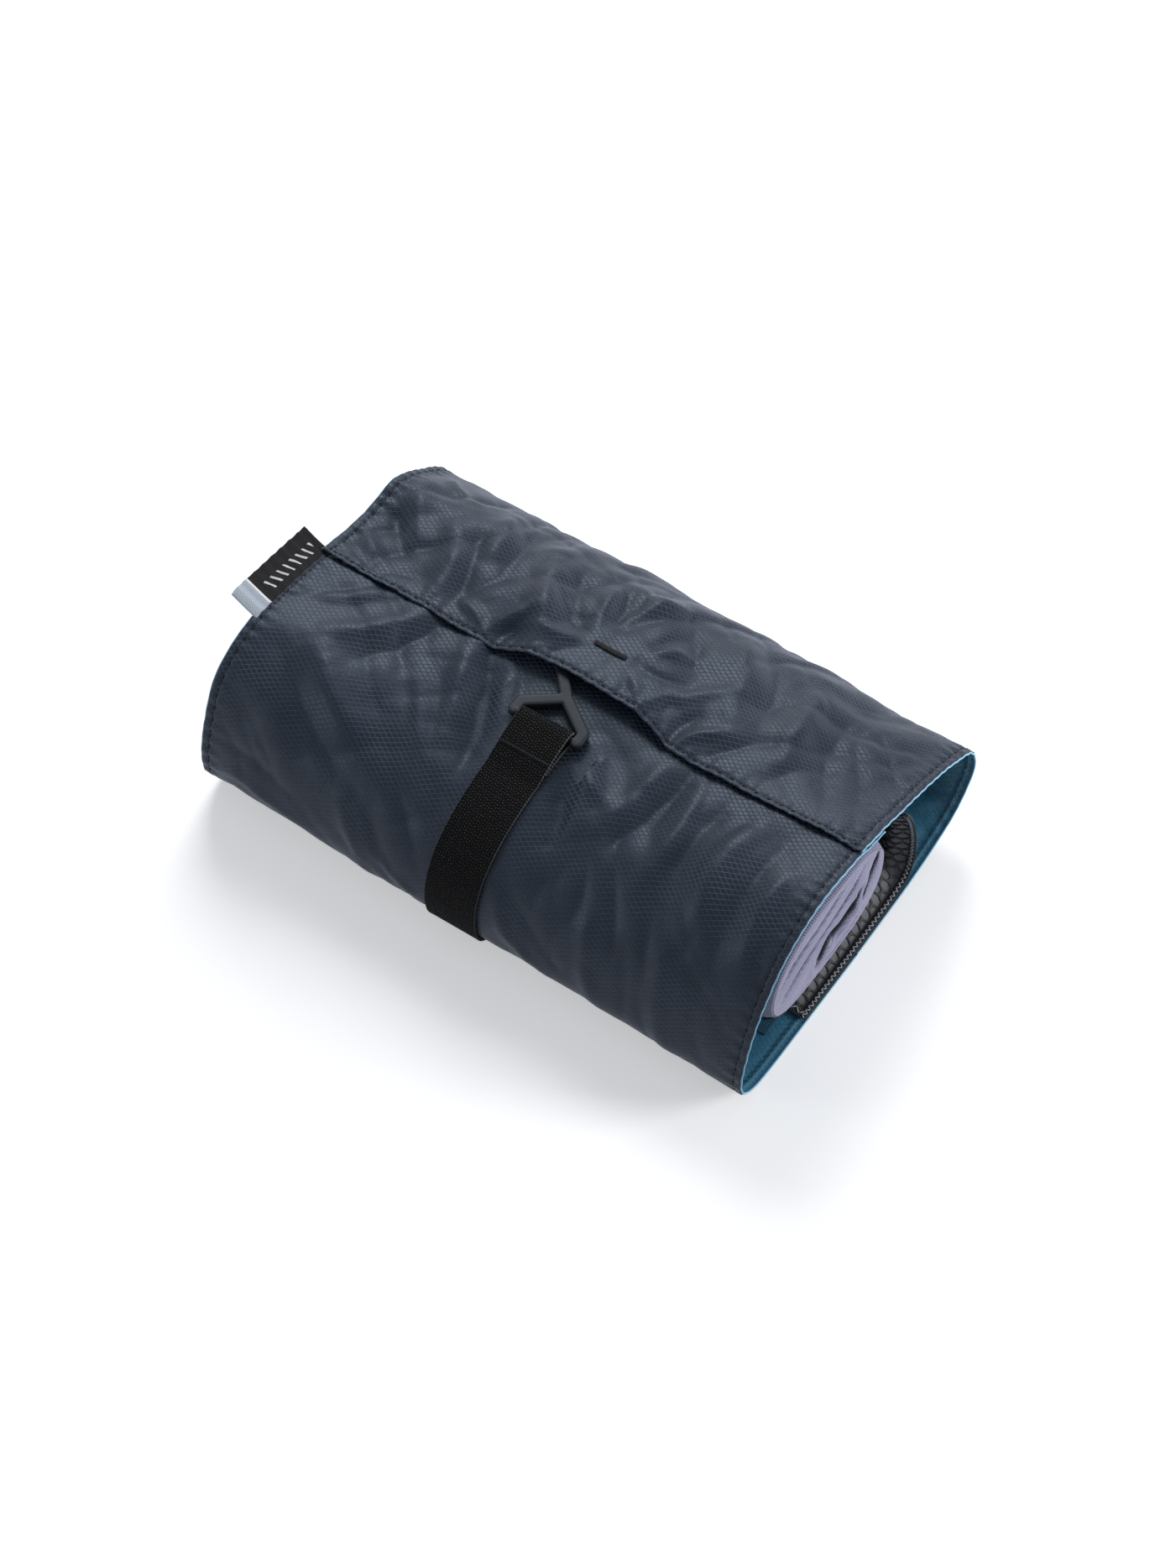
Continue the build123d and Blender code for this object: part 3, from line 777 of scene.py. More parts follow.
def ridged(values, sharpness):
    """Soft ridges where the noise crosses zero."""
    return np.maximum(1.0 - np.abs(values) * 1.3, 0.0) ** sharpness


def loose_field(grid, reach, seed):
    """The cloth's looseness between the listed creases: long soft valleys and short fine ones."""
    x, q = grid[:, :, 0], reach
    turn = math.radians(-52.0)
    a = x * math.cos(turn) + q * math.sin(turn)
    b = -x * math.sin(turn) + q * math.cos(turn)
    warp = cloudy(x / 60.0, q / 60.0, seed + 3.0)
    long_lines = ridged(cloudy(a / 52.0 + warp * 0.5, b / 20.0 + warp, seed), 2.4)
    crossing = ridged(cloudy(b / 40.0 - warp * 0.6, a / 17.0, seed + 9.0), 2.6)
    short = ridged(cloudy(a / 17.0 + warp, b / 7.5 - warp * 0.5, seed + 6.0), 3.0)
    fine = cloudy(x / 9.0, q / 9.0, seed + 5.0)
    patch = 0.4 + 0.6 * smooth(0.5 + 1.6 * cloudy(x / 38.0, q / 38.0, seed + 2.0))
    return 0.8 - long_lines * 1.6 - crossing * 0.6 + (fine * 0.14 - short * 0.16) * patch


def hem_pucker(distance, travelled, seed):
    """Small gathers beside a line of stitches."""
    wave = np.sin(travelled * 2 * math.pi / 6.4 + 2.5 * np.sin(travelled / 23.0 + seed))
    return wave * 0.40 * np.exp(-((distance - 3.6) / 4.0) ** 2)


def hem_relief(distance, turned=2.8):
    """The turned-in edge is thicker, and the stitches pull a groove."""
    return 0.14 * smooth((turned - distance) / 0.8) - 0.30 * np.exp(-((distance - turned - 0.2) / 0.7) ** 2)


def from_ends(x):
    """Distance from the nearer of the bag's two ends."""
    return np.minimum(x - x_left, x_right - x)


def bag_relief(grid, reach, seed, flap):
    """How far the cloth stands out of its smooth section, with calm places where something presses on it."""
    x, y, z = grid[:, :, 0], grid[:, :, 1], grid[:, :, 2]
    looseness = flap_looseness if flap else front_looseness
    field = crease_field(grid) * crease_depth + loose_field(grid, reach, seed) * looseness
    resting = smooth((z - 2.0) / 12.0)
    outer_fold = smooth((np.abs(y) - 74.0) / 10.0)
    field = field * resting * (1.0 - 0.45 * outer_fold)
    if flap:
        off_hook = smooth((np.abs(x - 2.0) - 8.0) / 14.0) + smooth((y - 34.0) / 8.0) + smooth((40.0 - z) / 8.0)
        field = field * np.clip(0.25 + off_hook, 0, 1)
        off_edge = smooth((reach[-1][None, :] - reach) / 16.0)
        field = field * (0.35 + 0.65 * off_edge) + 0.3 * (1.0 - off_edge)
    else:
        field = field * smooth((np.abs(x) - 11.0) / 12.0)
        tucked = smooth((y - flap_edge(x) + 1.0) / 7.0) * (z > 40.0)
        field = field * (1.0 - 0.8 * tucked)
        by_hook = (z > 40.0) & (y > -36.0) & (np.abs(x) < 26.0)
        field = np.where(by_hook, np.minimum(field, 0.35), field)
    ends = from_ends(x)
    field = field * (0.35 + 0.65 * smooth(ends / 16.0))
    field += hem_relief(ends) + hem_pucker(ends, reach, seed) * resting
    field = np.clip(field, -3.2, 4.2)
    return np.where(z < 3.0, np.maximum(field, -0.4), field)


near_relief = bag_relief(near_base, near_reach, 11.0, False)
far_relief = bag_relief(far_base, far_reach, 31.0, True)
edge_gap = far_reach[-1][None, :] - far_reach
far_relief += hem_relief(edge_gap, 2.0) * 1.4
far_relief += hem_pucker(edge_gap + 1.0, far_base[:, :, 0], 2.0) * 0.8


def raised(base, relief):
    """The cover's outer face, kept above the floor, and its normals."""
    outer = base + normals_of(base) * relief[:, :, None]
    outer[:, :, 2] = np.maximum(outer[:, :, 2], 0.25)
    return outer, normals_of(outer)


near_outer, near_normals = raised(near_base, near_relief)
far_outer, far_normals = raised(far_base, far_relief)
near_cloth = np.stack([near_base[:, :, 0], -near_reach], axis=2)
far_cloth = np.stack([far_base[:, :, 0], far_reach], axis=2)

# The two folds, each with the panel on its other side from the back, and a low and a high point on them.
folds = {"near_fold": "front", "far_fold": "flap"}
fold_low, fold_high = (0.0, 0.0, 0.014), (0.0, 0.0, 0.042)


def mount(piece, holder, slot, *nodes):
    """Attaches a piece to a body, or bakes its place in when its holder is a fold, and hides the nodes that it
    stands for.
    """
    if holder in folds:
        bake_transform(piece)
        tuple(fold_low)
        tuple(fold_high)
    else:
        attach(piece, holder)
    if nodes:
        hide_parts(*nodes)
    return piece


def cover(name, outer, normals, cloth, holder, *nodes):
    thickness = 0.55
    piece = layered(name, outer, outer - normals * thickness, cloth, shell_finish)
    return mount(piece, holder, "shell", *nodes)


near_cover = cover("near_cover", near_outer, near_normals, near_cloth, "near_fold", "front_panel")
far_cover = cover("far_cover", far_outer, far_normals, far_cloth, "far_fold", "flap_panel", "back_panel")


# ---------------------------------------------------------------- lining
def lining(name, outer, normals, cloth, seed, holder, *nodes):
    """The lining lies just inside the cover, and meets it in a thin edge at both mouths, whose lighter colour
    is a painted highlight.
    """
    x, along_section = outer[:, :, 0], cloth[:, :, 1]
    ends = from_ends(x)
    ripple = cloudy(x / 16.0, along_section / 11.0, seed) * 0.9
    ripple += cloudy(x / 6.0, along_section / 7.0, seed + 4.0) * 0.3
    depth = 1.0 + (0.9 + np.maximum(ripple, -0.7)) * smooth((ends - 3.0) / 10.0)
    depth = np.where(outer[:, :, 2] < 3.0, np.minimum(depth, 1.4), depth)
    face = outer - normals * depth[:, :, None]
    face[:, :, 0] += 0.55 * (1.0 - smooth(ends / 2.5)) * np.sign(x - 5.0)
    thickness = 0.32
    piece = layered(name, face + normals * thickness, face, cloth, lining_finish, 0.12)
    return mount(piece, holder, "lining", *nodes)


# The flap's lining ends short of the flap's edge, so that it doesn't show below it.
short = slice(None, -4)
near_lining = lining("near_lining", near_outer, near_normals, near_cloth, 51.0, "near_fold", "front_lining")
far_lining = lining("far_lining", far_outer[short], far_normals[short], far_cloth[short], 71.0, "far_fold",
                    "flap_lining", "back_lining")


# ---------------------------------------------------------------- stitching of the hems
hem_inset, flap_hem_inset = 3.0, 2.2
lining_depth = 1.35


def column_line(points, x):
    """The line that runs round the bag at x."""
    position = np.interp(x, columns, np.arange(len(columns)))
    low = int(math.floor(position))
    share = position - low
    return points[:, low] * (1 - share) + points[:, min(low + 1, len(columns) - 1)] * share


def edge_line(points, reach, distance):
    """The line that runs a set distance inside a half's top edge."""
    line = np.zeros((points.shape[1], 3))
    for j in range(points.shape[1]):
        for k in range(3):
            line[j, k] = np.interp(reach[-1, j] - distance, reach[:, j], points[:, j, k])
    return line


def end_lines(face, normals, way=1):
    """Lines for the stitches of both end hems, and the way that they face."""
    places = (x_left + hem_inset, x_right - hem_inset)
    return [(column_line(face, x), way * column_line(normals, x)) for x in places]


def seam(name, lines, finish, holder):
    """Rows of stitches along lines that each come with the way they face."""
    starts, ends, ups = [], [], []
    for line, normals in lines:
        for gathered, found in zip((starts, ends, ups), stitch_row(line, normals)):
            gathered += found
    mount(threads(name, starts, ends, 0.24, finish, ups), holder, "stitching")


flap_hem = [tuple(edge_line(grid, far_reach, flap_hem_inset) for grid in (far_outer, far_normals))]
near_inside = near_outer - near_normals * lining_depth
far_inside = far_outer - far_normals * lining_depth
seam("near_hem_stitches", end_lines(near_outer, near_normals), dark_thread, "near_fold")
seam("flap_hem_stitches", end_lines(far_outer, far_normals) + flap_hem, dark_thread, "far_fold")
seam("near_lining_stitches", end_lines(near_inside, near_normals, -1), blue_thread, "near_fold")
seam("far_lining_stitches", end_lines(far_inside, far_normals, -1), blue_thread, "far_fold")


def piping(name, outer, normals, holder, radius=0.42, sides=8):
    """A thin round edge of lining at both ends of one half, coloured much lighter than the lining as a painted
    highlight.
    """
    points, faces = [], []
    for end, way in ((0, -1), (-1, 1)):
        line = (outer - normals * 0.85)[:, end] + np.array((0.45 * way, 0.0, 0.0))
        line = spaced(line, np.linspace(0.0, walked(line)[-1], 260))
        along = np.gradient(line, axis=0)
        along /= np.linalg.norm(along, axis=1, keepdims=True)
        across = np.cross(along, (1.0, 0.0, 0.0))
        across /= np.linalg.norm(across, axis=1, keepdims=True)
        up = np.cross(across, along)
        faces += tube_faces(len(points), len(line), sides)
        for n in range(len(line)):
            for k in range(sides):
                angle = 2 * math.pi * k / sides
                points.append(line[n] + (across[n] * math.cos(angle) + up[n] * math.sin(angle)) * radius)
    mount(make_piece(name, points, faces, lining_edge_highlight), holder, "lining")


piping("near_lining_edge", near_outer, near_normals, "near_fold")
piping("far_lining_edge", far_outer, far_normals, "far_fold")


# ---------------------------------------------------------------- elastic strap and its tacks
def strip(name, path, width, thickness, finish, centre_x=0.0, edge=0.35):
    """A flat band of set width and thickness along a line in the cross-section."""
    along = np.gradient(path, axis=0)
    along /= np.linalg.norm(along, axis=1, keepdims=True)
    up = np.stack([-along[:, 1], along[:, 0]], axis=1)
    half, rise = width / 2.0, thickness / 2.0
    spread = np.linspace(-1.0, 1.0, 23)
    ring = [(s * (half - edge), rise * (1.0 + 0.10 * abs(s) ** 8)) for s in spread]
    ring += [(half - edge * 0.3, rise * 0.75), (half, 0.0), (half - edge * 0.3, -rise * 0.75)]
    ring += [(s * (half - edge), -rise) for s in spread[::-1]]
    ring += [(-half + edge * 0.3, -rise * 0.75), (-half, 0.0), (-half + edge * 0.3, rise * 0.75)]
    travelled = walked(path)
    points, coordinates = [], []
    for n in range(len(path)):
        for across, height in ring:
            y, z = path[n] + up[n] * height
            points.append((centre_x + across, y, z))
            coordinates.append((across, travelled[n]))
    return make_piece(name, points, tube_faces(0, len(path), len(ring)), finish, coordinates, 60.0)


# The strap leaves its anchor under the bag, goes round the near fold and the hook's bar, and back to the lap.
strap_width, strap_thickness, strap_rise = 25.0, 1.4, 1.05
bar_y, bar_z, bar_loop = -19.4, 73.5, 2.7
strap_column = int(np.argmin(np.abs(columns)))
cover_line = near_outer[:, strap_column, 1:]
strap_line = cover_line + near_normals[:, strap_column, 1:] * strap_rise
round_fold = (near_reach[:, strap_column] > 62.0) & ((cover_line[:, 0] < -42.0) | (cover_line[:, 1] < 40.0))
strap_path = [tuple(point) for point in strap_line[round_fold]][::5]
strap_path += [(-38.0, 70.4), (-33.0, 72.6), (-26.0, 74.9), (-22.4, 75.9)]
for angle in np.linspace(0, math.pi, 9):
    strap_path.append((bar_y + bar_loop * math.sin(angle), bar_z + bar_loop * math.cos(angle)))
strap_path += [(-23.5, 70.75), (-29.0, 70.4), (-34.0, 69.6), (-37.0, 68.9)]
strap = strip("elastic_strap", flowing(strap_path, 340), strap_width, strap_thickness, elastic)
mount(strap, "near_fold", "elastic", "elastic_strap_lower", "elastic_strap_upper")
float(walked(np.array(strap_path))[-1]) * MM


def height_at(points, x, y):
    """The top surface's height at a place."""
    flat = points.reshape(-1, 3)
    gap = (flat[:, 0] - x) ** 2 + (flat[:, 1] - y) ** 2 + np.where(flat[:, 2] > 40.0, 0.0, 1e6)
    return float(flat[np.argmin(gap), 2])


def zigzag(name, centre, half_y, count, height, half_x=11.6, radius=0.24, loose=0.1):
    """A bar of tight zigzag stitches. Height gives how high the thread lies at a place."""
    starts, ends = [], []
    step = 2 * half_x / count
    for n in range(count):
        x = centre[0] - half_x + 2 * half_x * n / count
        way = 1 if n % 2 else -1
        for side_points, here, side in ((starts, x, -way), (ends, x + step, way)):
            y = centre[1] + half_y * side + random.uniform(-loose, loose)
            side_points.append((here, y, height(here, y)))
    return threads(name, starts, ends, radius, dark_thread)


mount(zigzag("strap_lap_stitches", (0.0, -34.2), 0.9, 40, lambda x, y: 72.95),
      "front", "stitching", "strap_end_tack")
mount(zigzag("strap_anchor_stitches", (0.0, -66.0), 1.2, 40, lambda x, y: 0.55),
      "back", "stitching", "strap_anchor_tack")
flap_tack = zigzag("flap_bar_tack", (1.5, 25.4), 1.15, 76, lambda x, y: height_at(far_outer, x, y) + 0.55,
                   half_x=7.5, radius=0.36, loose=0.12)
mount(flap_tack, "flap", "stitching", "flap_tack")


# ---------------------------------------------------------------- hook and ribbon loop
hook_spread = 0.62                # how much wider the hook's limbs are than their nodes, outside the strap


def moulded_hook():
    """The hook's own outline with its edges and inside corners softened, as a mould leaves them."""
    piece = bpy.data.objects.new("moulded_hook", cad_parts["hook"].data.copy())
    scene.collection.objects.link(piece)
    soften = piece.modifiers.new("soften", "REMESH")
    soften.mode = "VOXEL"
    soften.voxel_size = 0.32 * MM
    relax = piece.modifiers.new("relax", "SMOOTH")
    relax.factor = 0.5
    relax.iterations = 9
    bpy.context.view_layer.update()
    made = bpy.data.meshes.new_from_object(piece.evaluated_get(bpy.context.evaluated_depsgraph_get()))
    piece.modifiers.clear()
    piece.data = made
    places = np.zeros(len(made.vertices) * 3)
    made.vertices.foreach_get("co", places)
    places = places.reshape(-1, 3)
    facing = np.array([vertex.normal for vertex in made.vertices])
    in_strap = (np.abs(places[:, 0]) < 13.2 * MM) & (places[:, 1] < -15.8 * MM)
    wider = facing * np.array((1.0, 1.0, 0.0)) * np.where(in_strap, 0.0, hook_spread * MM)[:, None]
    made.vertices.foreach_set("co", (places + wider).ravel())
    made.polygons.foreach_set("use_smooth", [True] * len(made.polygons))
    made.materials.clear()
    made.materials.append(plastic)
    return piece


mount(moulded_hook(), "hook", "hook_plastic", "hook")


def node_box(name):
    """A node's lowest and highest corners, in millimetres."""
    low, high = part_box(name)
    return low * 1000, high * 1000


def ribbon_loop():
    """A ribbon sewn to the flap at its far end, that goes round the hook's tip and back up."""
    low, high = node_box("hook_ribbon_loop")
    inset = 0.35
    near, bottom, top = low.y + inset, low.z + inset, high.z - inset
    half_way = (bottom + top) / 2
    end = node_box("hook")[1].y + 0.7
    path = [(high.y, top), (end + 2.0, top), (near + 1.6, top), (near + 0.4, top - 0.5), (near, half_way),
            (near + 0.4, bottom + 0.5), (near + 1.6, bottom), (end - 1.6, bottom), (end - 0.3, bottom + 0.5),
            (end, half_way), (end + 0.1, top - 0.95)]
    return strip("hook_ribbon", flowing(path, 90), 10.0, 0.7, ribbon_cloth, (low.x + high.x) / 2, 0.25)


mount(ribbon_loop(), "flap", "ribbon", "hook_ribbon_loop")


# ---------------------------------------------------------------- woven label
def woven_label():
    """A folded label sewn into the end hem, tipped up a little and slightly curled."""
    long_points, out_points = 61, 15
    length, sewn_in, sticks_out, tip_rise = 49.0, 1.6, 10.4, 6.6
    outer = np.zeros((long_points, out_points, 3))
    cloth = np.zeros((long_points, out_points, 2))
    for i in range(long_points):
        s = i / (long_points - 1)
        y = -42.0 + s * length
        root = height_at(near_outer, x_left + 1.0, min(y, 4.0)) - 0.3
        for j in range(out_points):
            t = j / (out_points - 1)
            out = t * (sticks_out + sewn_in)
            lift = tip_rise * t**1.15 + 0.5 * math.sin(s * 5.0 + t * 2.0) * t
            outer[i, j] = (x_left + sewn_in - out, y, root + lift)
            cloth[i, j] = (s * length, out)
    up = normals_of(outer)
    up = np.where(up[:, :, 2:3] < 0, -up, up)
    half = 0.42 + 0.10 * (np.linspace(0, 1, out_points)[None, :, None] ** 6)
    return layered("woven_label", outer + up * half, outer - up * half, cloth, label_cloth, 0.35)


mount(woven_label(), "front", "label_cloth", "label")


# ---------------------------------------------------------------- net pocket
# The pocket lies on the back lining, then stands up along the far side of the folded cloth.
pocket_left, pocket_right = -124.0, 140.0
pocket_at_mouth = [(-39, 2.0), (-20, 2.4), (0, 2.9), (20, 3.9), (32, 5.2), (40, 8.8), (44, 16.5), (44.5, 29),
                   (42, 43), (38, 54), (34, 61)]
pocket_inside = [(-37, 2.2), (-20, 2.3), (0, 2.4), (24, 2.6), (44, 4.0), (57, 9), (63, 18), (64.5, 30),
                 (63, 42), (58, 52), (52, 60)]
pocket_lines = flowing(pocket_at_mouth, 200), flowing(pocket_inside, 200)
pocket_length = pocket_right - pocket_left
pocket_span = float(walked(pocket_lines[1])[-1])
pocket_fullness = 5.8


def pocket_surface(x, b, rise):
    """Points at x, a distance b from the pocket's near edge, on the face that is rise above its back."""
    x, b = np.asarray(x, float), np.asarray(b, float)
    ends = np.minimum(x - pocket_left, pocket_right - x)
    deep = smooth((ends - 2.0) / 34.0)[..., None]
    share = np.clip(b / pocket_span, 0, 1) * 199
    low = np.clip(share.astype(int), 0, 198)
    part = (share - low)[..., None]
    at_mouth, inside = ((line[low] * (1 - part) + line[low + 1] * part) for line in pocket_lines)
    run_at_mouth, run_inside = ((line[low + 1] - line[low]) for line in pocket_lines)
    run = run_at_mouth * (1 - deep) + run_inside * deep
    run /= np.linalg.norm(run, axis=-1, keepdims=True)
    up = np.stack([-run[..., 1], run[..., 0]], axis=-1)
    if rise > 0:
        edge = np.minimum(b, pocket_span - b)
        plump = np.sqrt(smooth(edge / 18.0)) * smooth((ends - 2.6) / 9.0)
        wave = 0.5 * np.sin(x / 13.0 + b / 21.0) + 0.35 * np.sin(x / 7.0 - b / 11.0)
        rise = rise + (pocket_fullness + wave) * plump
    moved = at_mouth * (1 - deep) + inside * deep + up * (rise * np.ones(b.shape))[..., None]
    return np.concatenate([x[..., None], moved], axis=-1)


def around_hole(a, b, size, turn):
    angle = math.radians(turn)
    return a + size * math.cos(angle), b + size * math.sin(angle)


def hex_net(pitch=5.2, hole=0.43, margin=0.4):
    """Knitted net: rounded six-sided holes with flat strands between them."""
    points, faces, index = [], [], {}
    row_step, radius = pitch * math.sqrt(3) / 2, pitch / math.sqrt(3)

    def shared(a, b):
        key = (round(a * 50), round(b * 50))
        if key not in index:
            index[key] = len(points)
            points.append((a, b))
        return index[key]

    holes_long = int((pocket_length - 2 * margin) / pitch)
    first_column = pocket_right - margin - pitch * holes_long
    for r in range(int((pocket_span - 2 * margin) / row_step)):
        for c in range(holes_long - r % 2):
            a = first_column + pitch * (c + 0.5 + 0.5 * (r % 2))
            b = margin + row_step * r + radius
            ring, inner = [], []
            for k in range(6):
                here = around_hole(a, b, radius, 30 + 60 * k)
                after = around_hole(a, b, radius, 90 + 60 * k)
                ring.append(shared(*here))
                ring.append(shared((here[0] + after[0]) / 2, (here[1] + after[1]) / 2))
            for k in range(12):
                inner.append(len(points))
                points.append(around_hole(a, b, pitch * hole * (1.0 if k % 2 else 1.06), 30 + 30 * k))
            faces += [[ring[k], ring[(k + 1) % 12], inner[(k + 1) % 12], inner[k]] for k in range(12)]
    flat = np.array(points)
    a, b = flat[:, 0], np.clip(flat[:, 1], 0, pocket_span)
    count = len(flat)
    open_edges = {}
    solid = []
    for face in faces:
        solid.append(face)
        solid.append([v + count for v in face[::-1]])
        for k in range(4):
            first, second = face[k], face[(k + 1) % 4]
            if (second, first) in open_edges:
                open_edges.pop((second, first))
            else:
                open_edges[first, second] = True
    for first, second in open_edges:
        solid.append([second, first, first + count, second + count])
    both_faces = np.concatenate([pocket_surface(a, b, 0.95), pocket_surface(a, b, 0.50)])
    return make_piece("hex_net", both_faces, solid, net_knit, np.concatenate([flat, flat]), 50.0)


pocket_net = mount(hex_net(), "back", "net", "pocket_net")


def pocket_pad():
    """The pocket's filled back, just under the net."""
    inset = 0.6
    a = np.linspace(pocket_left + inset, pocket_right - inset, 130)
    a, b = np.meshgrid(a, np.linspace(inset, pocket_span - inset, 80))
    top, bottom = pocket_surface(a, b, 0.30), pocket_surface(a, b, -0.05)
    return layered("pocket_pad", top, bottom, np.stack([a, b], axis=2), padding_cloth, 0.2)


pad = mount(pocket_pad(), "back", "padding", "pocket_padding")


def pocket_binding():
    """Tape along the pocket's two ends and its two long edges, a closed band on each."""
    bands = []
    for end, way in ((pocket_left, 1), (pocket_right, -1)):
        over = end + way * np.linspace(-0.3, 2.5, 7)
        b, a = np.meshgrid(np.linspace(0.0, pocket_span, 120), over, indexing="ij")
        bands.append((a, b, 1.35, np.stack([b, a], axis=2)))
    for edge, way in ((0.0, 1), (pocket_span, -1)):
        over = edge + way * np.linspace(0.0, 3.4, 7)
        a, b = np.meshgrid(np.linspace(pocket_left, pocket_right, 180), over, indexing="ij")
        bands.append((a, b, 1.30, np.stack([a, b], axis=2)))
    return [layered(f"pocket_binding_{n}", pocket_surface(a, b, rise), pocket_surface(a, b, rise - 0.45), cloth,
                    binding_tape, 0.2) for n, (a, b, rise, cloth) in enumerate(bands)]


for n, band in enumerate(pocket_binding()):
    mount(band, "back", "binding", *(["pocket_binding"] if n == 0 else []))


def binding_stitches():
    """Pale zigzag stitches along the binding."""
    starts, ends = [], []

    def run(place, length, step, swing):
        for n in range(int(length / step)):
            way = 1 if n % 2 else -1
            starts.append(place(n * step, swing * way))
            ends.append(place((n + 1) * step, -swing * way))

    for end, way in ((pocket_left, 1), (pocket_right, -1)):
        run(lambda b, s: pocket_surface(end + way * (1.15 + s), b, 1.55), pocket_span - 0.5, 1.35, 0.85)
    run(lambda a, s: pocket_surface(pocket_left + a, 2.3 + s, 1.45), pocket_length - 1.0, 2.1, 1.1)
    return threads("binding_zigzag", starts, ends, 0.27, pale_thread, sides=5)


mount(binding_stitches(), "back", "stitching")


# ---------------------------------------------------------------- zip along the pocket
zip_end = 130.6                   # just past the slider's last place
tooth_pitch = 1.3


def zip_tape(side):
    """One side's tape, in its node's place, faintly rippled."""
    low, high = node_box(f"zip_tape_{side}")
    x, y = np.meshgrid(np.linspace(low.x, zip_end, 150), np.linspace(low.y, high.y, 9))
    top = np.stack([x, y, high.z + 0.05 * np.sin(x / 3.0)], axis=2)
    bottom = np.stack([x, y, np.full(x.shape, low.z)], axis=2)
    return layered(f"zip_tape_{side}_woven", top, bottom, np.stack([x, y], axis=2), zip_tape_cloth, 0.1)


def zip_coil(side):
    """The teeth of one side, half a pitch off those of the other."""
    low, high = node_box(f"zip_coil_{side}")
    if side == "near":
        root, tip, x = low.y + 0.15, high.y, low.x + 0.7
    else:
        root, tip, x = high.y - 0.15, low.y, low.x + 0.7 + tooth_pitch / 2
    starts, ends = [], []
    while x < zip_end - 1.0:
        starts.append((x, root, low.z + 0.5))
        ends.append((x + 0.25, tip, low.z + 0.5))
        x += tooth_pitch
    return threads(f"zip_coil_{side}_teeth", starts, ends, 0.43, coil_nylon, sides=8)


def zip_stops():
    """Metal clips across both coils, two at each end."""
    low, high = node_box("zip_end_stops")
    middle = (low.z + high.z) / 2
    places = (low.x + 1.0, low.x + 2.0, zip_end - 2.0, zip_end - 1.0)
    near, far = ([(x, y, middle) for x in places] for y in (low.y, high.y))
    return threads("zip_stop_clips", near, far, 0.58, zip_metal, sides=10)


for side in ("near", "far"):
    mount(zip_tape(side), "back", "zip_tape", f"zip_tape_{side}")
    mount(zip_coil(side), "back", "zip_coil", f"zip_coil_{side}")
mount(zip_stops(), "back", "zip_metal", "zip_end_stops")

for node in ("zip_slider", "zip_pull"):
    material_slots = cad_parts[node].data.materials
    material_slots.clear()
    material_slots.append(zip_metal)


# ---------------------------------------------------------------- folded cloth
bundle_left, bundle_right = -120.0, 136.0
bundle_centre = np.array((-14.0, 37.0))
bundle_outline = [(-51, 15.4), (-43, 13.2), (-30, 12.0), (-10, 11.8), (8, 13.6), (19, 18.5), (25.5, 26),
                  (27.5, 36), (26.5, 46), (21, 54.5), (12, 60), (0, 62), (-14, 62.5), (-32, 62), (-46, 57.5),
                  (-56, 50), (-61.5, 40), (-62.5, 31), (-59, 21.5), (-51, 15.4)]

# The slits between the layers, as (width, how deep they go in, points from end to end).
bundle_slits = [
    (1.3, 14.0, [(-27, 26), (-23, 30), (-18, 32.5), (-11, 31), (-5, 32.5), (1.5, 37), (4, 41)]),
    (0.7, 8.0, [(6, 33), (12, 38), (17, 44), (19, 52)]),
    (0.5, 5.0, [(-56, 28), (-46, 34), (-32, 39), (-14, 43), (0, 49), (8, 56)]),
    (0.45, 4.0, [(-58, 39), (-44, 47), (-24, 52), (-6, 58)]),
    (0.4, 1.6, [(-44, 19), (-32, 18.5), (-14, 19), (2, 22), (11, 28)]),
]


def bundle_sides():
    """Points of the rings from the left end to the right one, their cloth places, and a ring's size."""
    ring = flowing(bundle_outline, 161)[:-1]
    ring_walk = walked(ring)
    span = bundle_right - bundle_left
    rounded = [0.0, 0.6, 1.6, 3.2, 5.5, 8.5, 12.0]
    distances = rounded + list(np.arange(16.0, span - 16.0, 3.0)) + [span - d for d in rounded[::-1]]
    points, coordinates = [], []
    for d in distances:
        end = min(d, span - d)
        pull = 1.0 - 0.08 * (1.0 - min(end / 12.0, 1.0)) ** 2.2
        x = bundle_left + d
        wide = smooth(end / 60.0)
        for k, place in enumerate(ring):
            bulge = 0.9 * math.sin(x / 17.0 + k * 0.11) + 0.5 * math.sin(x / 8.0 - k * 0.23)
            offset = place - bundle_centre
            grow = offset / np.linalg.norm(offset) * bulge * wide
            y, z = bundle_centre + offset * pull + grow * (1.0, 0.6)
            if y > 0:
                y += 16.0 * wide * smooth(y / 30.0) * smooth((66.0 - z) / 10.0)
            points.append((x, y, z))
            coordinates.append((x, ring_walk[k], 0.0))
    return points, coordinates, len(ring)


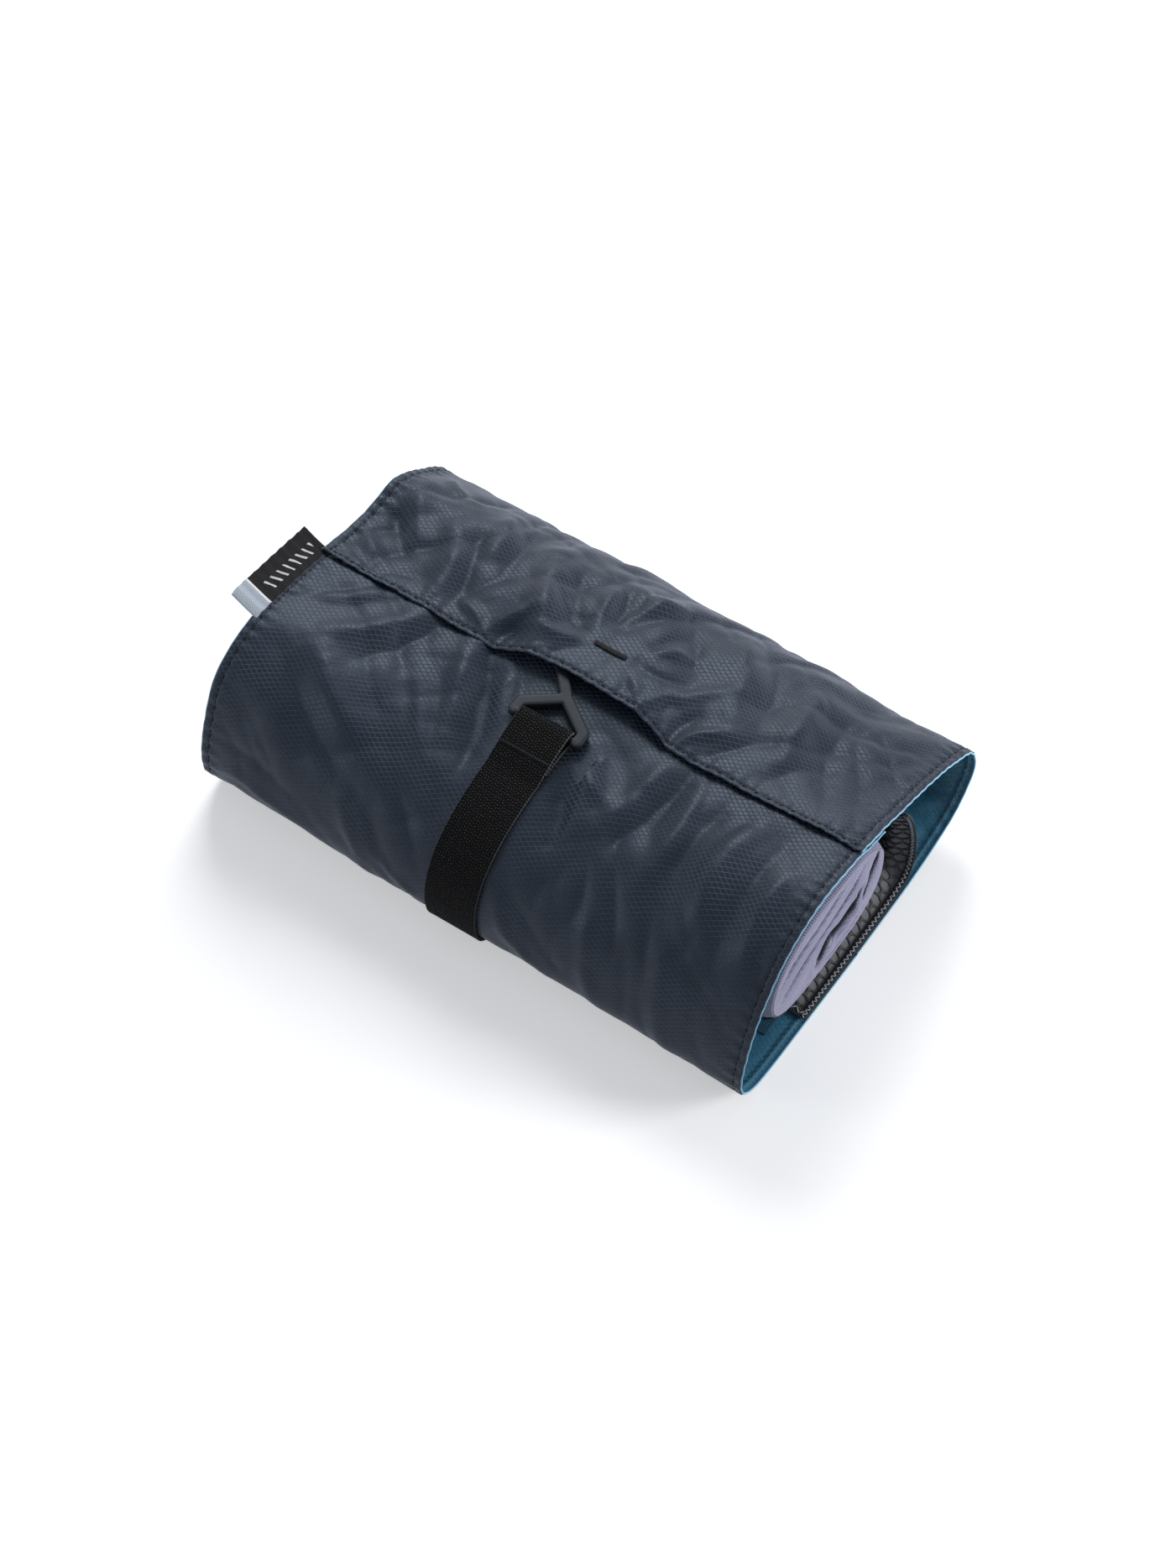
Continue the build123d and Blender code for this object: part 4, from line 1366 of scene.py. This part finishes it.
def slit_relief(y, z):
    """How far the bundle's end draws back between its layers, and how much painted shade darkens it there."""
    here = np.stack([y, z], axis=-1)
    depth, dark = np.zeros(y.shape), np.zeros(y.shape)
    for width, deep, marks in bundle_slits:
        line = flowing(marks, 60)
        gaps = np.linalg.norm(here[:, None, :] - line[None, :, :], axis=2)
        nearest = gaps.min(1)
        share = gaps.argmin(1) / 59.0
        above = z - line[gaps.argmin(1), 1]
        open_here = np.sin(np.pi * np.clip(share, 0.02, 0.98)) ** 0.5
        slit = open_here * np.exp(-(nearest / (width * (0.5 + open_here))) ** 2)
        lower_lip = open_here * np.exp(-((np.sign(above) * nearest / width + 1.1) / 1.15) ** 2)
        # painted shade: a dark band along each slit's lower lip, stronger for deeper slits
        dark = np.maximum(dark, lower_lip * smooth((deep - 1.0) / 9.0))
        depth += deep * slit
        depth += 0.16 * deep * open_here * smooth(above / 1.4 + 0.3) * np.exp(-(nearest / 8.0) ** 2)
        depth += 0.12 * deep * open_here * np.exp(-(nearest / 4.5) ** 2)
        depth -= 0.07 * deep * np.exp(-((nearest - 5.0) / 2.6) ** 2)
    return depth, dark


def jersey_bundle(rings_in=78, swell=1.56):
    """A jersey cloth folded into a soft bundle, with its folds showing at both ends."""
    points, coordinates, around = bundle_sides()
    last_ring = len(points) - around
    following = [(k + 1) % around for k in range(around)]
    faces = [[low + k, low + around + k, low + around + nxt, low + nxt]
             for low in range(0, last_ring, around) for k, nxt in enumerate(following)]
    for first, x_end, way in ((0, bundle_left, 1), (last_ring, bundle_right, -1)):
        border = np.array(points[first:first + around])
        previous = first
        for m in range(1, rings_in + 1):
            share = 1.0 - m / (rings_in + 1.0)
            yz = bundle_centre + (border[:, 1:] - bundle_centre) * share
            depth, dark = slit_relief(yz[:, 0], yz[:, 1])
            depth = depth * min(1.0, (1.0 - share) * 6.0) - swell * (1.0 - share**6)
            current = len(points)
            for k, (y, z) in enumerate(yz):
                points.append((x_end + way * depth[k], y, z))
                # The third coordinate carries the painted slit shade to the finish.
                coordinates.append((y + 200.0, z, dark[k]))
            for k, nxt in enumerate(following):
                faces.append([previous + k, previous + nxt, current + nxt, current + k][::way])
            previous = current
        faces += [[previous + k, previous + nxt, len(points)][::way] for k, nxt in enumerate(following)]
        points.append((x_end, *bundle_centre))
        coordinates.append((bundle_centre[0] + 200.0, bundle_centre[1], 0.0))
    return make_piece("jersey_bundle", points, faces, jersey, coordinates)


bundle = mount(jersey_bundle(), "contents", "folded_cloth", "folded_cloth")
